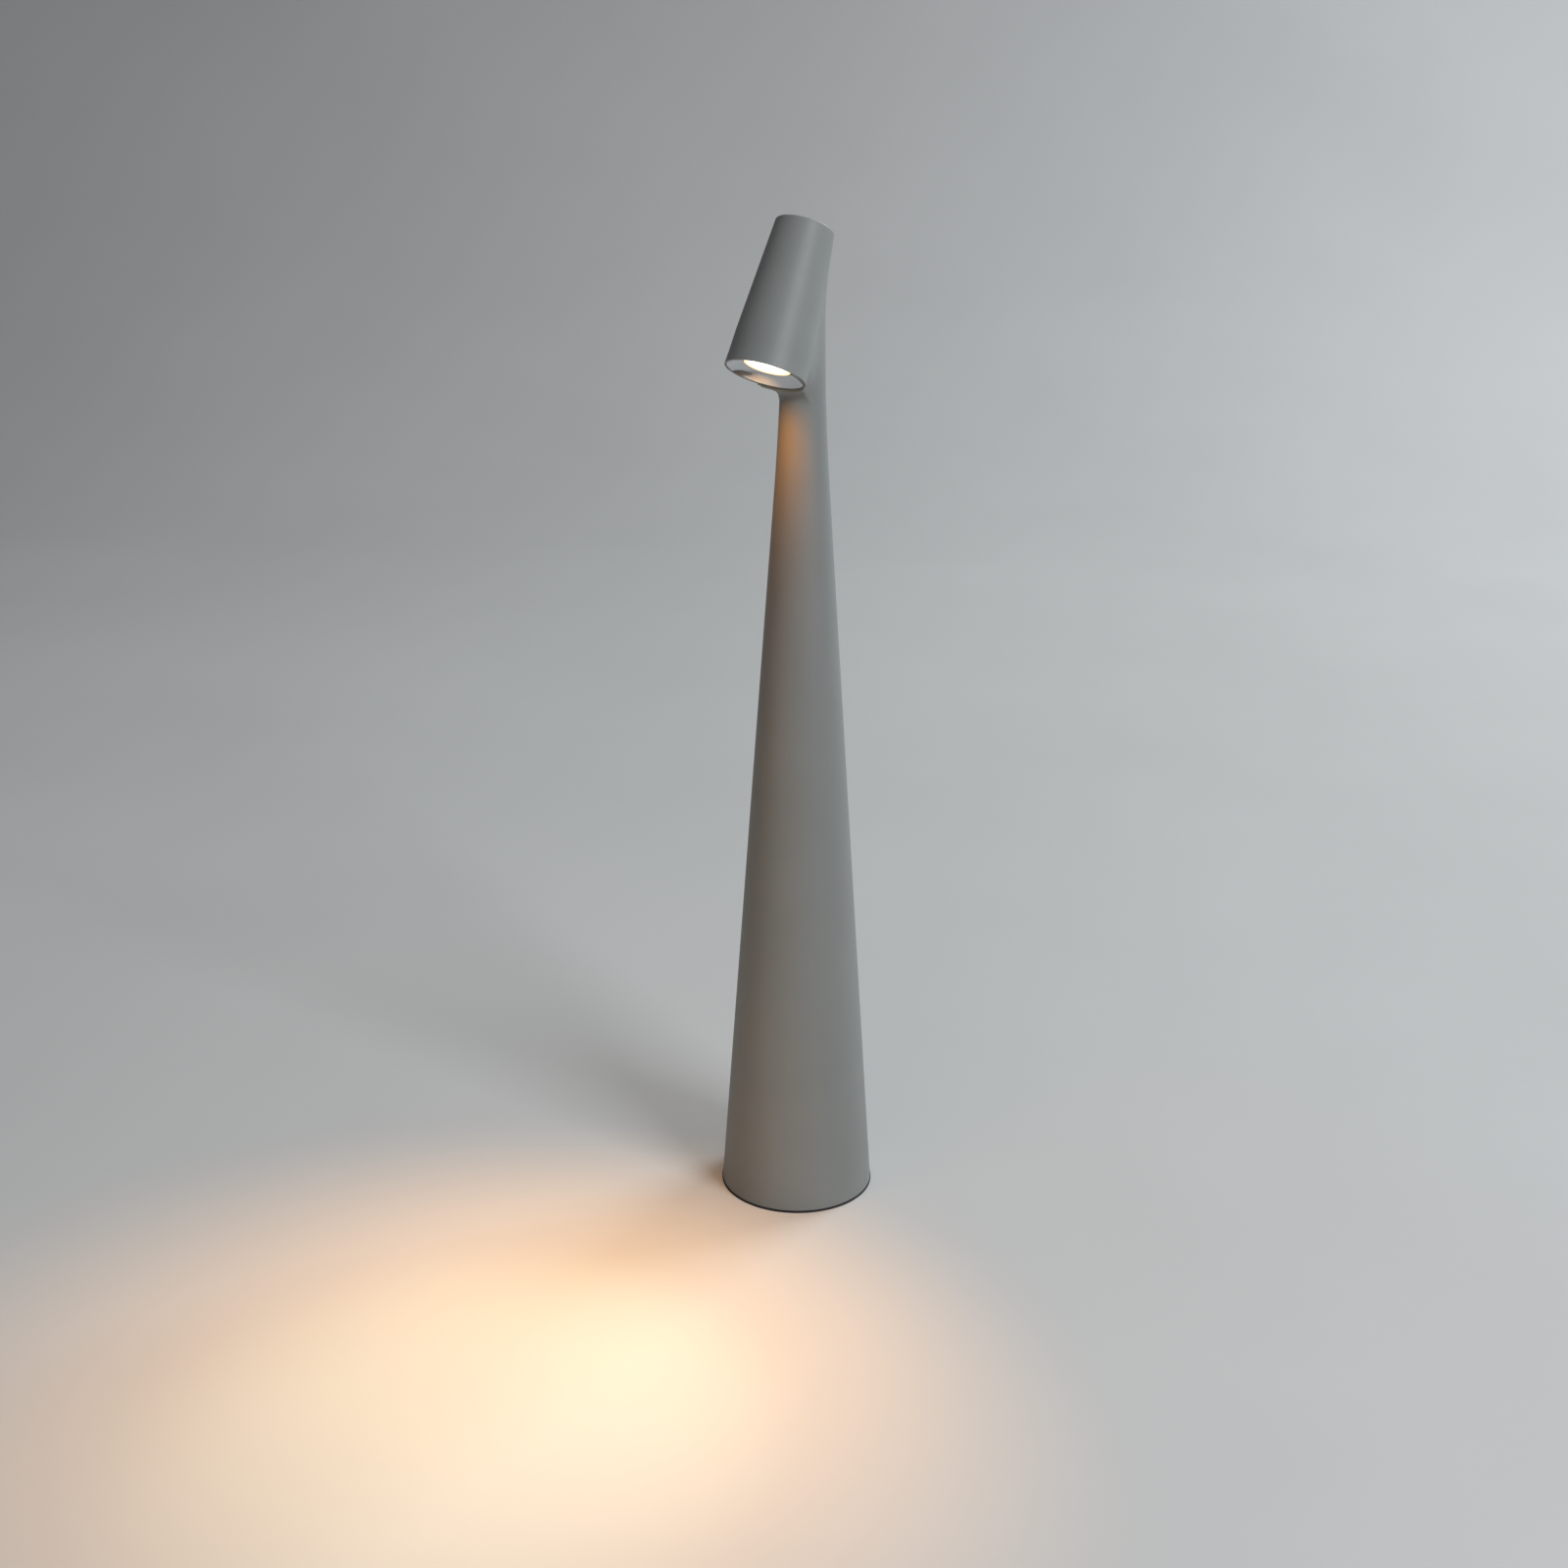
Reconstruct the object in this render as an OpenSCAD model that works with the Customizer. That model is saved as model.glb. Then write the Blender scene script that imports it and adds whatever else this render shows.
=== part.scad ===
// Cordless table lamp: a slender cone body that runs up into a tilted cone head.
// Millimetres, +Z up, origin at the centre of the foot on the table, the head leans towards -Y.

/* [Overall] */
// Height of the whole lamp
total_h = 580; // [483:1:696]
// Diameter of the body where it meets the foot
base_d = 91.4; // [88:0.2:110]

/* [Body] */
// Diameter of the body at the top of the straight cone
cone_top_d = 31.1; // [29:0.1:37]
// Length over which the cone eases into the parallel neck
easing_l = 110; // [90:1:132]
// Length of parallel neck up to the crossing with the head's axis
neck_l = 30.8; // [25:0.2:37]
// Wall of the body casing
wall = 2.4; // [2:0.1:2.9]

/* [Head] */
// Lean of the head axis from the vertical
head_tilt = 27.4; // [23:0.1:33]
// Length of the head from rim to top
head_len = 83.4; // [78:0.2:100]
// Length of head above the crossing of the two axes
head_over = 2.1; // [0:0.1:6]
// Diameter of the head at its rim
rim_d = 44.8; // [43.6:0.2:54]
// Diameter of the head at its top
top_d = 31.8; // [31:0.2:38]
// Wall of the head casing
head_wall = 2.2; // [2:0.1:3]
// Diameter of the rounded web between neck and head
throat_d = 18; // [12:0.5:20]

/* [Light] */
// Clear diameter of the lit lens
lens_d = 27; // [20:0.5:30]
// Depth of the bright reflector dish below the rim
dish_depth = 2.9; // [1.5:0.1:4]
// Bore of the head that holds the light engine
bore_d = 39.6; // [38:0.2:40]
// Depth of that bore
bore_h = 15; // [14:0.5:24]
// Height of the cooling fins
fin_h = 19; // [10:1:30]
// Number of fin places around the heat sink
fin_count = 12; // [8:1:16]

/* [Base] */
// Thickness of the rubber foot
foot_t = 1.2; // [1:0.1:3]
// How far the foot stands out past the body
foot_proud = 0.3; // [0:0.1:1]
// Thickness of the closing plate
plate_t = 3; // [2.5:0.1:5]
// Thickness of the ballast
ballast_t = 17.6; // [12:0.2:18.6]
// Distance from the outside of the body to the base screws
screw_inset = 8.7; // [8.4:0.1:9]

/* [Power] */
// Diameter of one battery cell
cell_d = 18.4; // [16:0.1:22.1]
// Length of one battery cell
cell_l = 65.2; // [54:0.1:78.3]
// Height of the charging socket above the table
port_z = 30; // [29.5:0.5:36]
// Width of the recess that takes the plug
recess_w = 13.2; // [12.4:0.1:14]
// Height of the recess that takes the plug
recess_h = 7.4; // [7:0.1:8]
// Depth of that recess from the skin of the body
recess_depth = 7.4; // [7:0.1:8]
// Thickness of the rubber flap
flap_t = 1.4; // [1.2:0.1:1.8]
// Diameter of the hinge pin
pin_d = 1.2; // [1:0.1:1.6]
// Diameter of the lead to the head
cable_d = 3.4; // [2.8:0.1:4]

/* [Hidden] */
$fn = 96;

skin = "#7f8583";
black_rubber = "#1c1c1d";
grey_rubber = "#6f7573";
steel = "#b4b6b8";
board_green = "#1f6b45";
nylon = "#e8e6df";

gap = 0.2;            // sliding gap between pieces that seat in one another
loose_gap = 0.3;      // gap between the casing's inside and what is bonded to it
thread_gap = 0.03;    // radial gap at a screw in its tapped hole
eps = 0.02;           // overlap of joined solids

base_r = base_d / 2;
rim_r = rim_d / 2;
top_r = top_d / 2;
bore_r = bore_d / 2;
// Height at which the head's axis crosses the body's axis
pivot_z = total_h - head_over * cos(head_tilt) - top_r * sin(head_tilt);
neck_h = pivot_z - neck_l;
cone_h = neck_h - easing_l;
taper = (base_d - cone_top_d) / 2 / cone_h;
neck_r = cone_top_d / 2 - taper * easing_l / 2;
neck_steps = 12;

head_below = head_len - head_over;
rim_y = -head_below * sin(head_tilt);
rim_z = pivot_z - head_below * cos(head_tilt);
head_taper = (rim_r - top_r) / head_len;

// Outer radius of the body at a height: a straight cone, then an easing into the neck
function body_r(z) =
    z <= cone_h ? base_r - taper * z :
    z < neck_h ? cone_top_d / 2 - taper * (z - cone_h) * (1 - (z - cone_h) / (2 * easing_l)) :
    neck_r;

// Outer and inner radius of the head at a distance u above its rim
function head_r(u) = rim_r - head_taper * u;
function head_in_r(u) = head_r(u) - head_wall;

// Levels of a body outline between two heights
function levels(low, high) = concat(
    [low],
    [for (i = [0 : neck_steps])
        let (z = cone_h + easing_l * i / neck_steps)
        if (z > low + 0.5 && z < high - 0.5) z],
    [high]);

// Solid inside the body outline, drawn in by inset
module body_form(inset, low, high) {
    rotate_extrude()
        polygon(concat(
            [[0, low]],
            [for (z = levels(low, high)) [body_r(z) - inset, z]],
            [[0, high]]));
}

// Puts children in the head's frame: origin at the rim centre, +Z along the axis to the top
module in_head() {
    translate([0, rim_y, rim_z]) rotate([-head_tilt, 0, 0]) children();
}

// Revolves an outline given as [radius, height] points
module turned(outline) {
    rotate_extrude() polygon(outline);
}

module ring(outer, inner, low, high) {
    turned([[inner, low], [outer, low], [outer, high], [inner, high]]);
}

module o_ring(major, minor, z) {
    rotate_extrude() translate([major, z]) circle(r = minor, $fn = 24);
}

// Bar with rounded corners, centred in X and Z, running along Y from front to back
module rounded_bar(w, h, r, front, back) {
    depth = back - front;
    translate([-w / 2 + r, front, -h / 2]) cube([w - 2 * r, depth, h]);
    translate([-w / 2, front, -h / 2 + r]) cube([w, depth, h - 2 * r]);
    for (sx = [-1, 1], sz = [-1, 1])
        translate([sx * (w / 2 - r), front, sz * (h / 2 - r)])
            rotate([-90, 0, 0]) cylinder(r = r, h = depth, $fn = 32);
}

// Screw with a flat countersunk head, head face at z = 0, shank upwards
module flat_screw(r, head_radius, length) {
    head_t = head_radius - r;
    difference() {
        union() {
            cylinder(r1 = head_radius, r2 = r, h = head_t);
            translate([0, 0, head_t - eps]) cylinder(r = r, h = length - head_t + eps);
        }
        translate([0, 0, -eps]) cylinder(r = r * 0.75, h = head_t * 0.7, $fn = 6);
    }
}

// Screw with a round head, seat at z = 0, shank downwards
module pan_screw(r, head_radius, head_t, length) {
    difference() {
        union() {
            cylinder(r = head_radius, h = head_t);
            translate([0, 0, -length]) cylinder(r = r, h = length + eps);
        }
        translate([0, 0, head_t * 0.5]) cylinder(r = r * 0.7, h = head_t, $fn = 6);
    }
}

// Sweeps a round section along a list of points
function unit(v) = v / norm(v);
function heading(path, i) =
    unit(path[min(i + 1, len(path) - 1)] - path[max(i - 1, 0)]);
module tube_along(path, r, sides) {
    n = len(path);
    side_axis = [1, 0, 0];
    points = [for (i = [0 : n - 1])
        let (t = heading(path, i), b = unit(cross(t, side_axis)), a = cross(b, t))
        for (k = [0 : sides - 1])
            path[i] + r * (cos(360 * k / sides) * a + sin(360 * k / sides) * b)];
    walls = [for (i = [0 : n - 2], k = [0 : sides - 1])
        [i * sides + k, i * sides + (k + 1) % sides,
         (i + 1) * sides + (k + 1) % sides, (i + 1) * sides + k]];
    ends = [
        [for (k = [sides - 1 : -1 : 0]) k],
        [for (k = [0 : sides - 1]) (n - 1) * sides + k]];
    polyhedron(points = points, faces = concat(walls, ends), convexity = 4);
}

// Points of a smooth curve through hand-set stations
function spline_point(a, b, c, d, t) =
    0.5 * (2 * b + (c - a) * t + (2 * a - 5 * b + 4 * c - d) * t * t
        + (3 * b - a - 3 * c + d) * t * t * t);
function smooth_path(stations, steps) = concat(
    [for (i = [0 : len(stations) - 2], s = [0 : steps - 1])
        spline_point(
            stations[max(i - 1, 0)], stations[i], stations[i + 1],
            stations[min(i + 2, len(stations) - 1)], s / steps)],
    [stations[len(stations) - 1]]);

// ---- casing ----

crown_round = 1;      // rounding of the head's top edge
round_steps = 5;
seat_r = top_r - 1.5; // bore that the touch cap sits in
seat_h = 3;           // depth of that bore
bezel_r = rim_r - 0.8;
bezel_h = 1.6;
rebate_r = base_r - 2.15;
rebate_top = foot_t + plate_t + 0.1;
head_back_top = [-head_over * sin(head_tilt) - top_r * cos(head_tilt),
                 pivot_z + head_over * cos(head_tilt) - top_r * sin(head_tilt)];
head_back_rim = [-rim_y - rim_r * cos(head_tilt), rim_z - rim_r * sin(head_tilt)];
// Height at which the back of the head crosses the back of the neck
back_share = (-neck_r - head_back_top[0]) / (head_back_rim[0] - head_back_top[0]);
neck_top = head_back_top[1] + back_share * (head_back_rim[1] - head_back_top[1]) + 2;
cavity_top = pivot_z - 36;
throat_y = rim_r + throat_d / 2 - 5;
throat_low = 5;       // height of the web's underside above the rim

module head_form() {
    turned(concat(
        [[0, 0], [rim_r, 0]],
        [for (i = [0 : round_steps])
            let (a = 90 * i / round_steps)
            [head_r(head_len - crown_round) - crown_round * (1 - cos(a)),
             head_len - crown_round * (1 - sin(a))]],
        [[0, head_len]]));
}

module head_cavity() {
    shelf_u = head_len - seat_h;
    turned([
        [0, -1], [bezel_r, -1], [bezel_r, bezel_h], [bore_r, bezel_h], [bore_r, bore_h],
        [head_in_r(bore_h), bore_h], [head_in_r(shelf_u), shelf_u],
        [seat_r, shelf_u], [seat_r, head_len + 1], [0, head_len + 1]]);
}

// Web that closes the wedge between head and neck, ending inside the neck
module throat_web() {
    intersection() {
        in_head() translate([0, throat_y, throat_low])
            cylinder(d = throat_d, h = head_len / 2);
        translate([-base_r, -base_d, 0]) cube([base_d, base_d, total_h]);
    }
}

module port_window(grow) {
    translate([0, 0, frame_mid_z])
        rounded_bar(frame_w + 2 * grow, frame_h + 2 * grow, 2 + grow, base_r * 0.6, base_r + 2);
}

module body_shell() {
    color(skin) difference() {
        union() {
            body_form(0, foot_t, neck_top);
            in_head() head_form();
            throat_web();
        }
        body_form(wall, rebate_top, cavity_top);
        translate([0, 0, foot_t - 1]) cylinder(r = rebate_r, h = plate_t + 1.1);
        in_head() head_cavity();
        port_window(0.15);
        translate([0, 0, pipe_z]) rotate([-90, 0, 0]) cylinder(r = pipe_r + 0.05, h = base_r + 2);
    }
}

// ---- touch dimmer in the top of the head ----

cap_face_u = head_len - 0.1;
cap_seat_u = head_len - seat_h + 0.1;
skirt_r = head_in_r(head_len - seat_h) - 0.4;
skirt_u = head_len - 8.4;
carrier_u = head_len - 21.4;
carrier_t = 3;
board_u = carrier_u + carrier_t + 2;
board_t = 1.2;
touch_board_r = 11.5;
touch_screw_at = 8.5;
touch_screw_r = 1;
cap_hollow_r = skirt_r - 1.7;
cap_plate_t = 1.8;
seal_u = head_len - 5.6;
seal_r = 0.45;
seal_major = head_in_r(seal_u) - seal_r - 0.02;
spring_wire_r = 0.35;
spring_r = 3;
spring_turns = 6;

module touch_cap() {
    color(skin) in_head() difference() {
        turned([
            [0, skirt_u], [skirt_r, skirt_u], [skirt_r, cap_seat_u],
            [seat_r - 0.25, cap_seat_u], [seat_r - 0.25, cap_face_u - 0.3],
            [seat_r - 0.55, cap_face_u], [0, cap_face_u]]);
        translate([0, 0, skirt_u - 1])
            cylinder(r = cap_hollow_r, h = cap_face_u - cap_plate_t - skirt_u + 1);
        ring(skirt_r + 1, seal_major - seal_r - 0.02, seal_u - 0.6, seal_u + 0.6);
    }
}

module cap_seal() {
    color(black_rubber) in_head() o_ring(seal_major, seal_r, seal_u);
}

module touch_spring() {
    low = board_u + board_t + spring_wire_r;
    high = cap_face_u - cap_plate_t - spring_wire_r;
    steps = spring_turns * 12;
    coil = [for (i = [0 : steps])
        let (a = 360 * spring_turns * i / steps)
        [spring_r * cos(a), spring_r * sin(a), low + (high - low) * i / steps]];
    color(steel) in_head() spring_coil(coil);
}

// The same sweep with sections that stand on the coil's own axis
module spring_coil(path) {
    sides = 8;
    n = len(path);
    points = [for (i = [0 : n - 1])
        let (t = heading(path, i), out = unit([path[i][0], path[i][1], 0]), b = cross(t, out))
        for (k = [0 : sides - 1])
            path[i] + spring_wire_r
                * (cos(360 * k / sides) * out + sin(360 * k / sides) * b)];
    walls = [for (i = [0 : n - 2], k = [0 : sides - 1])
        [(i + 1) * sides + k, (i + 1) * sides + (k + 1) % sides,
         i * sides + (k + 1) % sides, i * sides + k]];
    ends = [
        [for (k = [0 : sides - 1]) k],
        [for (k = [sides - 1 : -1 : 0]) (n - 1) * sides + k]];
    polyhedron(points = points, faces = concat(walls, ends), convexity = 6);
}

module touch_carrier() {
    color(nylon) in_head() difference() {
        union() {
            translate([0, 0, carrier_u])
                cylinder(r1 = head_in_r(carrier_u) - 0.1,
                         r2 = head_in_r(carrier_u + carrier_t) - 0.1, h = carrier_t);
            for (sx = [-1, 1])
                translate([sx * touch_screw_at, 0, carrier_u + carrier_t - eps])
                    cylinder(r = 2.2, h = 2 + eps, $fn = 32);
        }
        translate([0, 0, carrier_u - 1]) cylinder(r = 3, h = carrier_t + 2);
        for (sx = [-1, 1])
            translate([sx * touch_screw_at, 0, carrier_u - 1])
                cylinder(r = touch_screw_r + thread_gap, h = carrier_t + 4);
    }
}

module touch_board() {
    color(board_green) in_head() difference() {
        translate([0, 0, board_u]) cylinder(r = touch_board_r, h = board_t);
        for (sx = [-1, 1])
            translate([sx * touch_screw_at, 0, board_u - 1])
                cylinder(r = touch_screw_r + 0.1, h = board_t + 2, $fn = 24);
    }
}

module touch_chips() {
    color("#2a2a2c") in_head() translate([0, 0, board_u + board_t]) {
        translate([-2.2, -9, 0]) cube([4.4, 4.2, 1]);
        for (sx = [-1, 1]) translate([sx * 4.6 - 0.8, 5.8, 0]) cube([1.6, 0.9, 0.8]);
    }
}

module touch_screws() {
    color(steel) in_head()
        for (sx = [-1, 1])
            translate([sx * touch_screw_at, 0, board_u + board_t])
                pan_screw(touch_screw_r, 1.9, 1.2, 4.5);
}

// ---- light engine behind the rim ----

lens_r = lens_d / 2;
lens_low = dish_depth + 0.3;
lens_t = 2;
cup_low = lens_low + lens_t + 0.2;
board_low = cup_low + 4;
led_board_t = 1.6;
sink_low = board_low + led_board_t;
sink_flange = bore_h - sink_low;
led_board_r = lens_r + 1.7;
chip_r = 5;
chip_t = 0.7;
led_screw_at = 11;
led_screw_r = 1.25;
barrel_r = bore_r - 0.15;
sink_core_r = 7;
fin_t = 1.4;
fin_r = head_in_r(bore_h + fin_h) - 1.2;
lead_y = 12.5;

module reflector() {
    dish_steps = 8;
    dish_out = bezel_r - 0.6;
    color("#d9dadb") in_head() difference() {
        turned(concat(
            [for (i = [0 : dish_steps])
                let (s = i / dish_steps)
                [lens_r + (dish_out - lens_r) * s, dish_depth - (dish_depth - 0.3) * pow(s, 1.4)]],
            [[bezel_r - 0.2, 0.3], [bezel_r - 0.2, bezel_h - 0.1], [barrel_r, bezel_h - 0.1],
             [barrel_r, sink_low], [led_board_r + 2.2, sink_low],
             [led_board_r + 2.2, cup_low], [lens_r + 1.8, cup_low],
             [lens_r + 1.8, lens_low], [lens_r, lens_low]]));
        ring(bore_r + 1, bore_r - 0.85, 6.4, 7.6);
    }
}

module head_seal() {
    color(black_rubber) in_head() o_ring(bore_r - 0.4 - 0.01, 0.4, 7);
}

module lens() {
    color("#fff1d6") in_head() translate([0, 0, lens_low])
        cylinder(r = lens_r + 1.6, h = lens_t);
}

module light_cup() {
    color("#f4f2ec") in_head() difference() {
        union() {
            translate([0, 0, cup_low]) cylinder(r = led_board_r + 2, h = 1);
            translate([0, 0, cup_low]) cylinder(r = led_board_r, h = board_low - cup_low);
        }
        translate([0, 0, cup_low - eps])
            cylinder(r1 = lens_r - 0.5, r2 = chip_r + 1, h = board_low - cup_low + 2 * eps);
        for (sx = [-1, 1])
            translate([sx * led_screw_at, 0, board_low - 1.6]) cylinder(r = 2.5, h = 2);
    }
}

module led_board() {
    color("#dfe2e4") in_head() difference() {
        translate([0, 0, board_low]) cylinder(r = led_board_r, h = led_board_t);
        for (sx = [-1, 1])
            translate([sx * led_screw_at, 0, board_low - 1])
                cylinder(r = led_screw_r + 0.1, h = 4, $fn = 32);
        translate([0, lead_y, board_low - 1]) cylinder(r = 1.9, h = 4, $fn = 32);
    }
}

module led_chip() {
    color("#f2c94a") in_head() translate([0, 0, board_low - chip_t])
        cylinder(r = chip_r, h = chip_t);
}

module led_screws() {
    color(steel) in_head()
        for (sx = [-1, 1])
            translate([sx * led_screw_at, 0, board_low]) mirror([0, 0, 1])
                pan_screw(led_screw_r, 2.2, 1.3, 4.4);
}

module heat_sink() {
    color("#9fa3a6") in_head() difference() {
        union() {
            translate([0, 0, sink_low]) cylinder(r = bore_r - 0.2, h = sink_flange);
            translate([0, 0, bore_h - eps]) cylinder(r = sink_core_r, h = fin_h + eps);
            for (i = [0 : fin_count - 1])
                if (abs(i - fin_count / 4) > 1.1)
                    rotate([0, 0, 360 * i / fin_count])
                        translate([0, -fin_t / 2, bore_h - eps])
                            cube([fin_r, fin_t, fin_h + eps]);
        }
        for (sx = [-1, 1])
            translate([sx * led_screw_at, 0, sink_low - 1])
                cylinder(r = led_screw_r + thread_gap, h = 4.5, $fn = 32);
        translate([0, lead_y, sink_low - 1]) cylinder(r = 1.9, h = sink_flange + 2, $fn = 32);
    }
}

// ---- base ----

plate_r = rebate_r - gap;
screw_circle_r = base_r - screw_inset;
ring_low = rebate_top;
ring_h = 8;
boss_r = 4;
m3 = 1.5;
base_seal_r = 0.65;
base_seal_z = foot_t + plate_t / 2;
ballast_low = foot_t + plate_t;
ballast_r = screw_circle_r - boss_r - 0.5;
ballast_screw_at = 18;
m4 = 2;

module foot_pad() {
    color(black_rubber) cylinder(r = base_r + foot_proud, h = foot_t);
}

module base_plate() {
    color("#8b8f92") difference() {
        translate([0, 0, foot_t]) cylinder(r = plate_r, h = plate_t);
        ring(plate_r + 1, rebate_r - 2 * base_seal_r - 0.05,
             base_seal_z - base_seal_r - 0.1, base_seal_z + base_seal_r + 0.1);
        for (i = [0 : 2])
            rotate([0, 0, 120 * i - 30]) translate([screw_circle_r, 0, foot_t])
                countersink(m3, 3);
        for (sx = [-1, 1]) translate([sx * ballast_screw_at, 0, foot_t]) countersink(m4, 4);
    }
}

module countersink(r, head_radius) {
    translate([0, 0, -1]) cylinder(r = r + 0.1, h = plate_t + 2);
    translate([0, 0, -eps]) cylinder(r1 = head_radius + 0.1, r2 = r + 0.1, h = head_radius - r);
}

module base_seal() {
    color(black_rubber) o_ring(rebate_r - base_seal_r - 0.02, base_seal_r, base_seal_z);
}

module base_screws() {
    color(steel) for (i = [0 : 2])
        rotate([0, 0, 120 * i - 30]) translate([screw_circle_r, 0, foot_t + 0.02])
            flat_screw(m3, 3, 9);
}

module base_ring() {
    color("#7d8184") difference() {
        union() {
            difference() {
                body_form(wall + loose_gap, ring_low, ring_low + ring_h);
                translate([0, 0, ring_low - 1]) cylinder(r = base_r - wall - 4, h = ring_h + 2);
            }
            for (i = [0 : 2])
                rotate([0, 0, 120 * i - 30]) translate([screw_circle_r, 0, ring_low + 0.5])
                    cylinder(r = boss_r, h = ring_h + 0.5, $fn = 48);
        }
        for (i = [0 : 2])
            rotate([0, 0, 120 * i - 30]) translate([screw_circle_r, 0, ring_low - 1])
                cylinder(r = m3 + thread_gap, h = ring_h + 3);
    }
}

module ballast() {
    color("#4b4d50") difference() {
        translate([0, 0, ballast_low]) cylinder(r = ballast_r, h = ballast_t);
        for (sx = [-1, 1]) {
            translate([sx * ballast_screw_at, 0, ballast_low - 1])
                cylinder(r = m4 + thread_gap, h = 10);
            translate([sx * rod_x, rod_y, ballast_top - rod_hole])
                cylinder(r = m3 + thread_gap, h = rod_hole + 1);
        }
    }
}

module ballast_screws() {
    color(steel) for (sx = [-1, 1])
        translate([sx * ballast_screw_at, 0, foot_t + 0.02]) flat_screw(m4, 4, 11);
}

// ---- battery pack and its carrier ----

ballast_top = ballast_low + ballast_t;
carrier_plate_t = 2.5;
carrier_r = 31;
strap_t = 0.3;
strap_w = 8;
strap_over = 4;
cell_low = ballast_top + carrier_plate_t + strap_t;
cell_high = cell_low + cell_l;
top_low = cell_high + strap_t;
cell_x = cell_d / 2 + 1.2;
cell_y = -9.5;
cup_h = 7;
cup_wall = 1.6;
rod_x = 25;
rod_y = 3;
rod_hole = 9;
nut_t = 2.4;
main_y = 12;
main_t = 1.6;
main_w = 34;
slot_depth = 1.2;

module cell_cups(low, high) {
    for (sx = [-1, 1]) translate([sx * cell_x, cell_y, low])
        cylinder(r = cell_d / 2 + gap + cup_wall, h = high - low);
}

module cell_pockets(low, high) {
    for (sx = [-1, 1]) translate([sx * cell_x, cell_y, low])
        cylinder(r = cell_d / 2 + gap, h = high - low);
}

// The strip that joins the two cells, and with a gap the slot that it lies in
module strap_slot(low, clear) {
    translate([-cell_x - strap_over - clear, cell_y - strap_w / 2 - clear, low])
        cube([2 * (cell_x + strap_over + clear), strap_w + 2 * clear, strap_t]);
}

module rod_holes(low, high) {
    for (sx = [-1, 1]) translate([sx * rod_x, rod_y, low])
        cylinder(r = m3 + 0.1, h = high - low, $fn = 48);
}

module carrier_base() {
    plate_top = ballast_top + carrier_plate_t;
    color("#2f3134") difference() {
        union() {
            translate([0, 0, ballast_top]) cylinder(r = carrier_r, h = carrier_plate_t);
            cell_cups(plate_top - eps, plate_top + cup_h);
            for (sx = [-1, 1]) translate([sx * post_x, post_y, plate_top - eps])
                cylinder(r = 2.2, h = board_bottom - plate_top + eps, $fn = 32);
        }
        cell_pockets(plate_top, plate_top + cup_h + 1);
        strap_slot(plate_top, gap);
        rod_holes(ballast_top - 1, plate_top + 1);
        translate([-main_w / 2 - gap, main_y - 0.1, plate_top - slot_depth])
            cube([main_w + 2 * gap, main_t + 0.2, slot_depth + 1]);
        for (sx = [-1, 1]) translate([sx * post_x, post_y, plate_top - 1])
            cylinder(r = small_screw_r + thread_gap, h = 10, $fn = 32);
    }
}

module carrier_top() {
    color("#2f3134") difference() {
        union() {
            translate([0, 0, top_low]) cylinder(r = carrier_r, h = carrier_plate_t);
            cell_cups(top_low - cup_h, top_low + eps);
        }
        cell_pockets(top_low - cup_h - 1, top_low);
        strap_slot(cell_high, gap);
        rod_holes(top_low - 1, top_low + carrier_plate_t + 1);
        translate([-main_w / 2 - gap, main_y - 0.1, top_low - 1])
            cube([main_w + 2 * gap, main_t + 0.2, slot_depth + 1]);
        translate([cable_start[0], cable_start[1], top_low - 1]) cylinder(r = 3.6, h = 6);
    }
}

module tie_rods() {
    low = ballast_top - rod_hole + 1;
    high = top_low + carrier_plate_t + nut_t + 1.2;
    color(steel) for (sx = [-1, 1])
        translate([sx * rod_x, rod_y, low]) cylinder(r = m3, h = high - low);
}

module tie_nuts() {
    color(steel) for (sx = [-1, 1])
        translate([sx * rod_x, rod_y, top_low + carrier_plate_t]) difference() {
            cylinder(r = 3.1, h = nut_t, $fn = 6);
            translate([0, 0, -1]) cylinder(r = m3 + thread_gap, h = nut_t + 2);
        }
}

module battery_cells() {
    color("#2c5f9e") for (sx = [-1, 1])
        translate([sx * cell_x, cell_y, cell_low]) cylinder(d = cell_d, h = cell_l);
}

module battery_straps() {
    color("#c9c6bb") for (z = [cell_low - strap_t, cell_high]) strap_slot(z, 0);
}

module main_board() {
    low = ballast_top + carrier_plate_t - slot_depth + 0.1;
    high = top_low + slot_depth - 0.3;
    color(board_green) translate([-main_w / 2, main_y, low]) cube([main_w, main_t, high - low]);
}

module board_parts() {
    face = main_y + main_t;
    color("#232426") {
        translate([-12, face, 38]) cube([7, 1.2, 7]);
        translate([6, face, 36]) cube([5, 1, 6]);
        translate([-9, face, 60]) rotate([-90, 0, 0]) cylinder(r = 4.5, h = 5);
        translate([-8, face, 74]) cube([6, 1.4, 5]);
    }
    color("#8d8f93") for (x = [4, 12])
        translate([x, face, 58]) rotate([-90, 0, 0]) cylinder(r = 3, h = 7, $fn = 48);
}

module cable_socket() {
    face = main_y + main_t;
    color(nylon) difference() {
        translate([cable_start[0] - 4.5, face, cable_start[2] - 8.2]) cube([9, 6.4, 8]);
        translate([cable_start[0] - 3.4, face + 5.4, cable_start[2] - 6]) cube([6.8, 2, 3]);
    }
}

// ---- charging port at the back of the base ----

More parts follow.
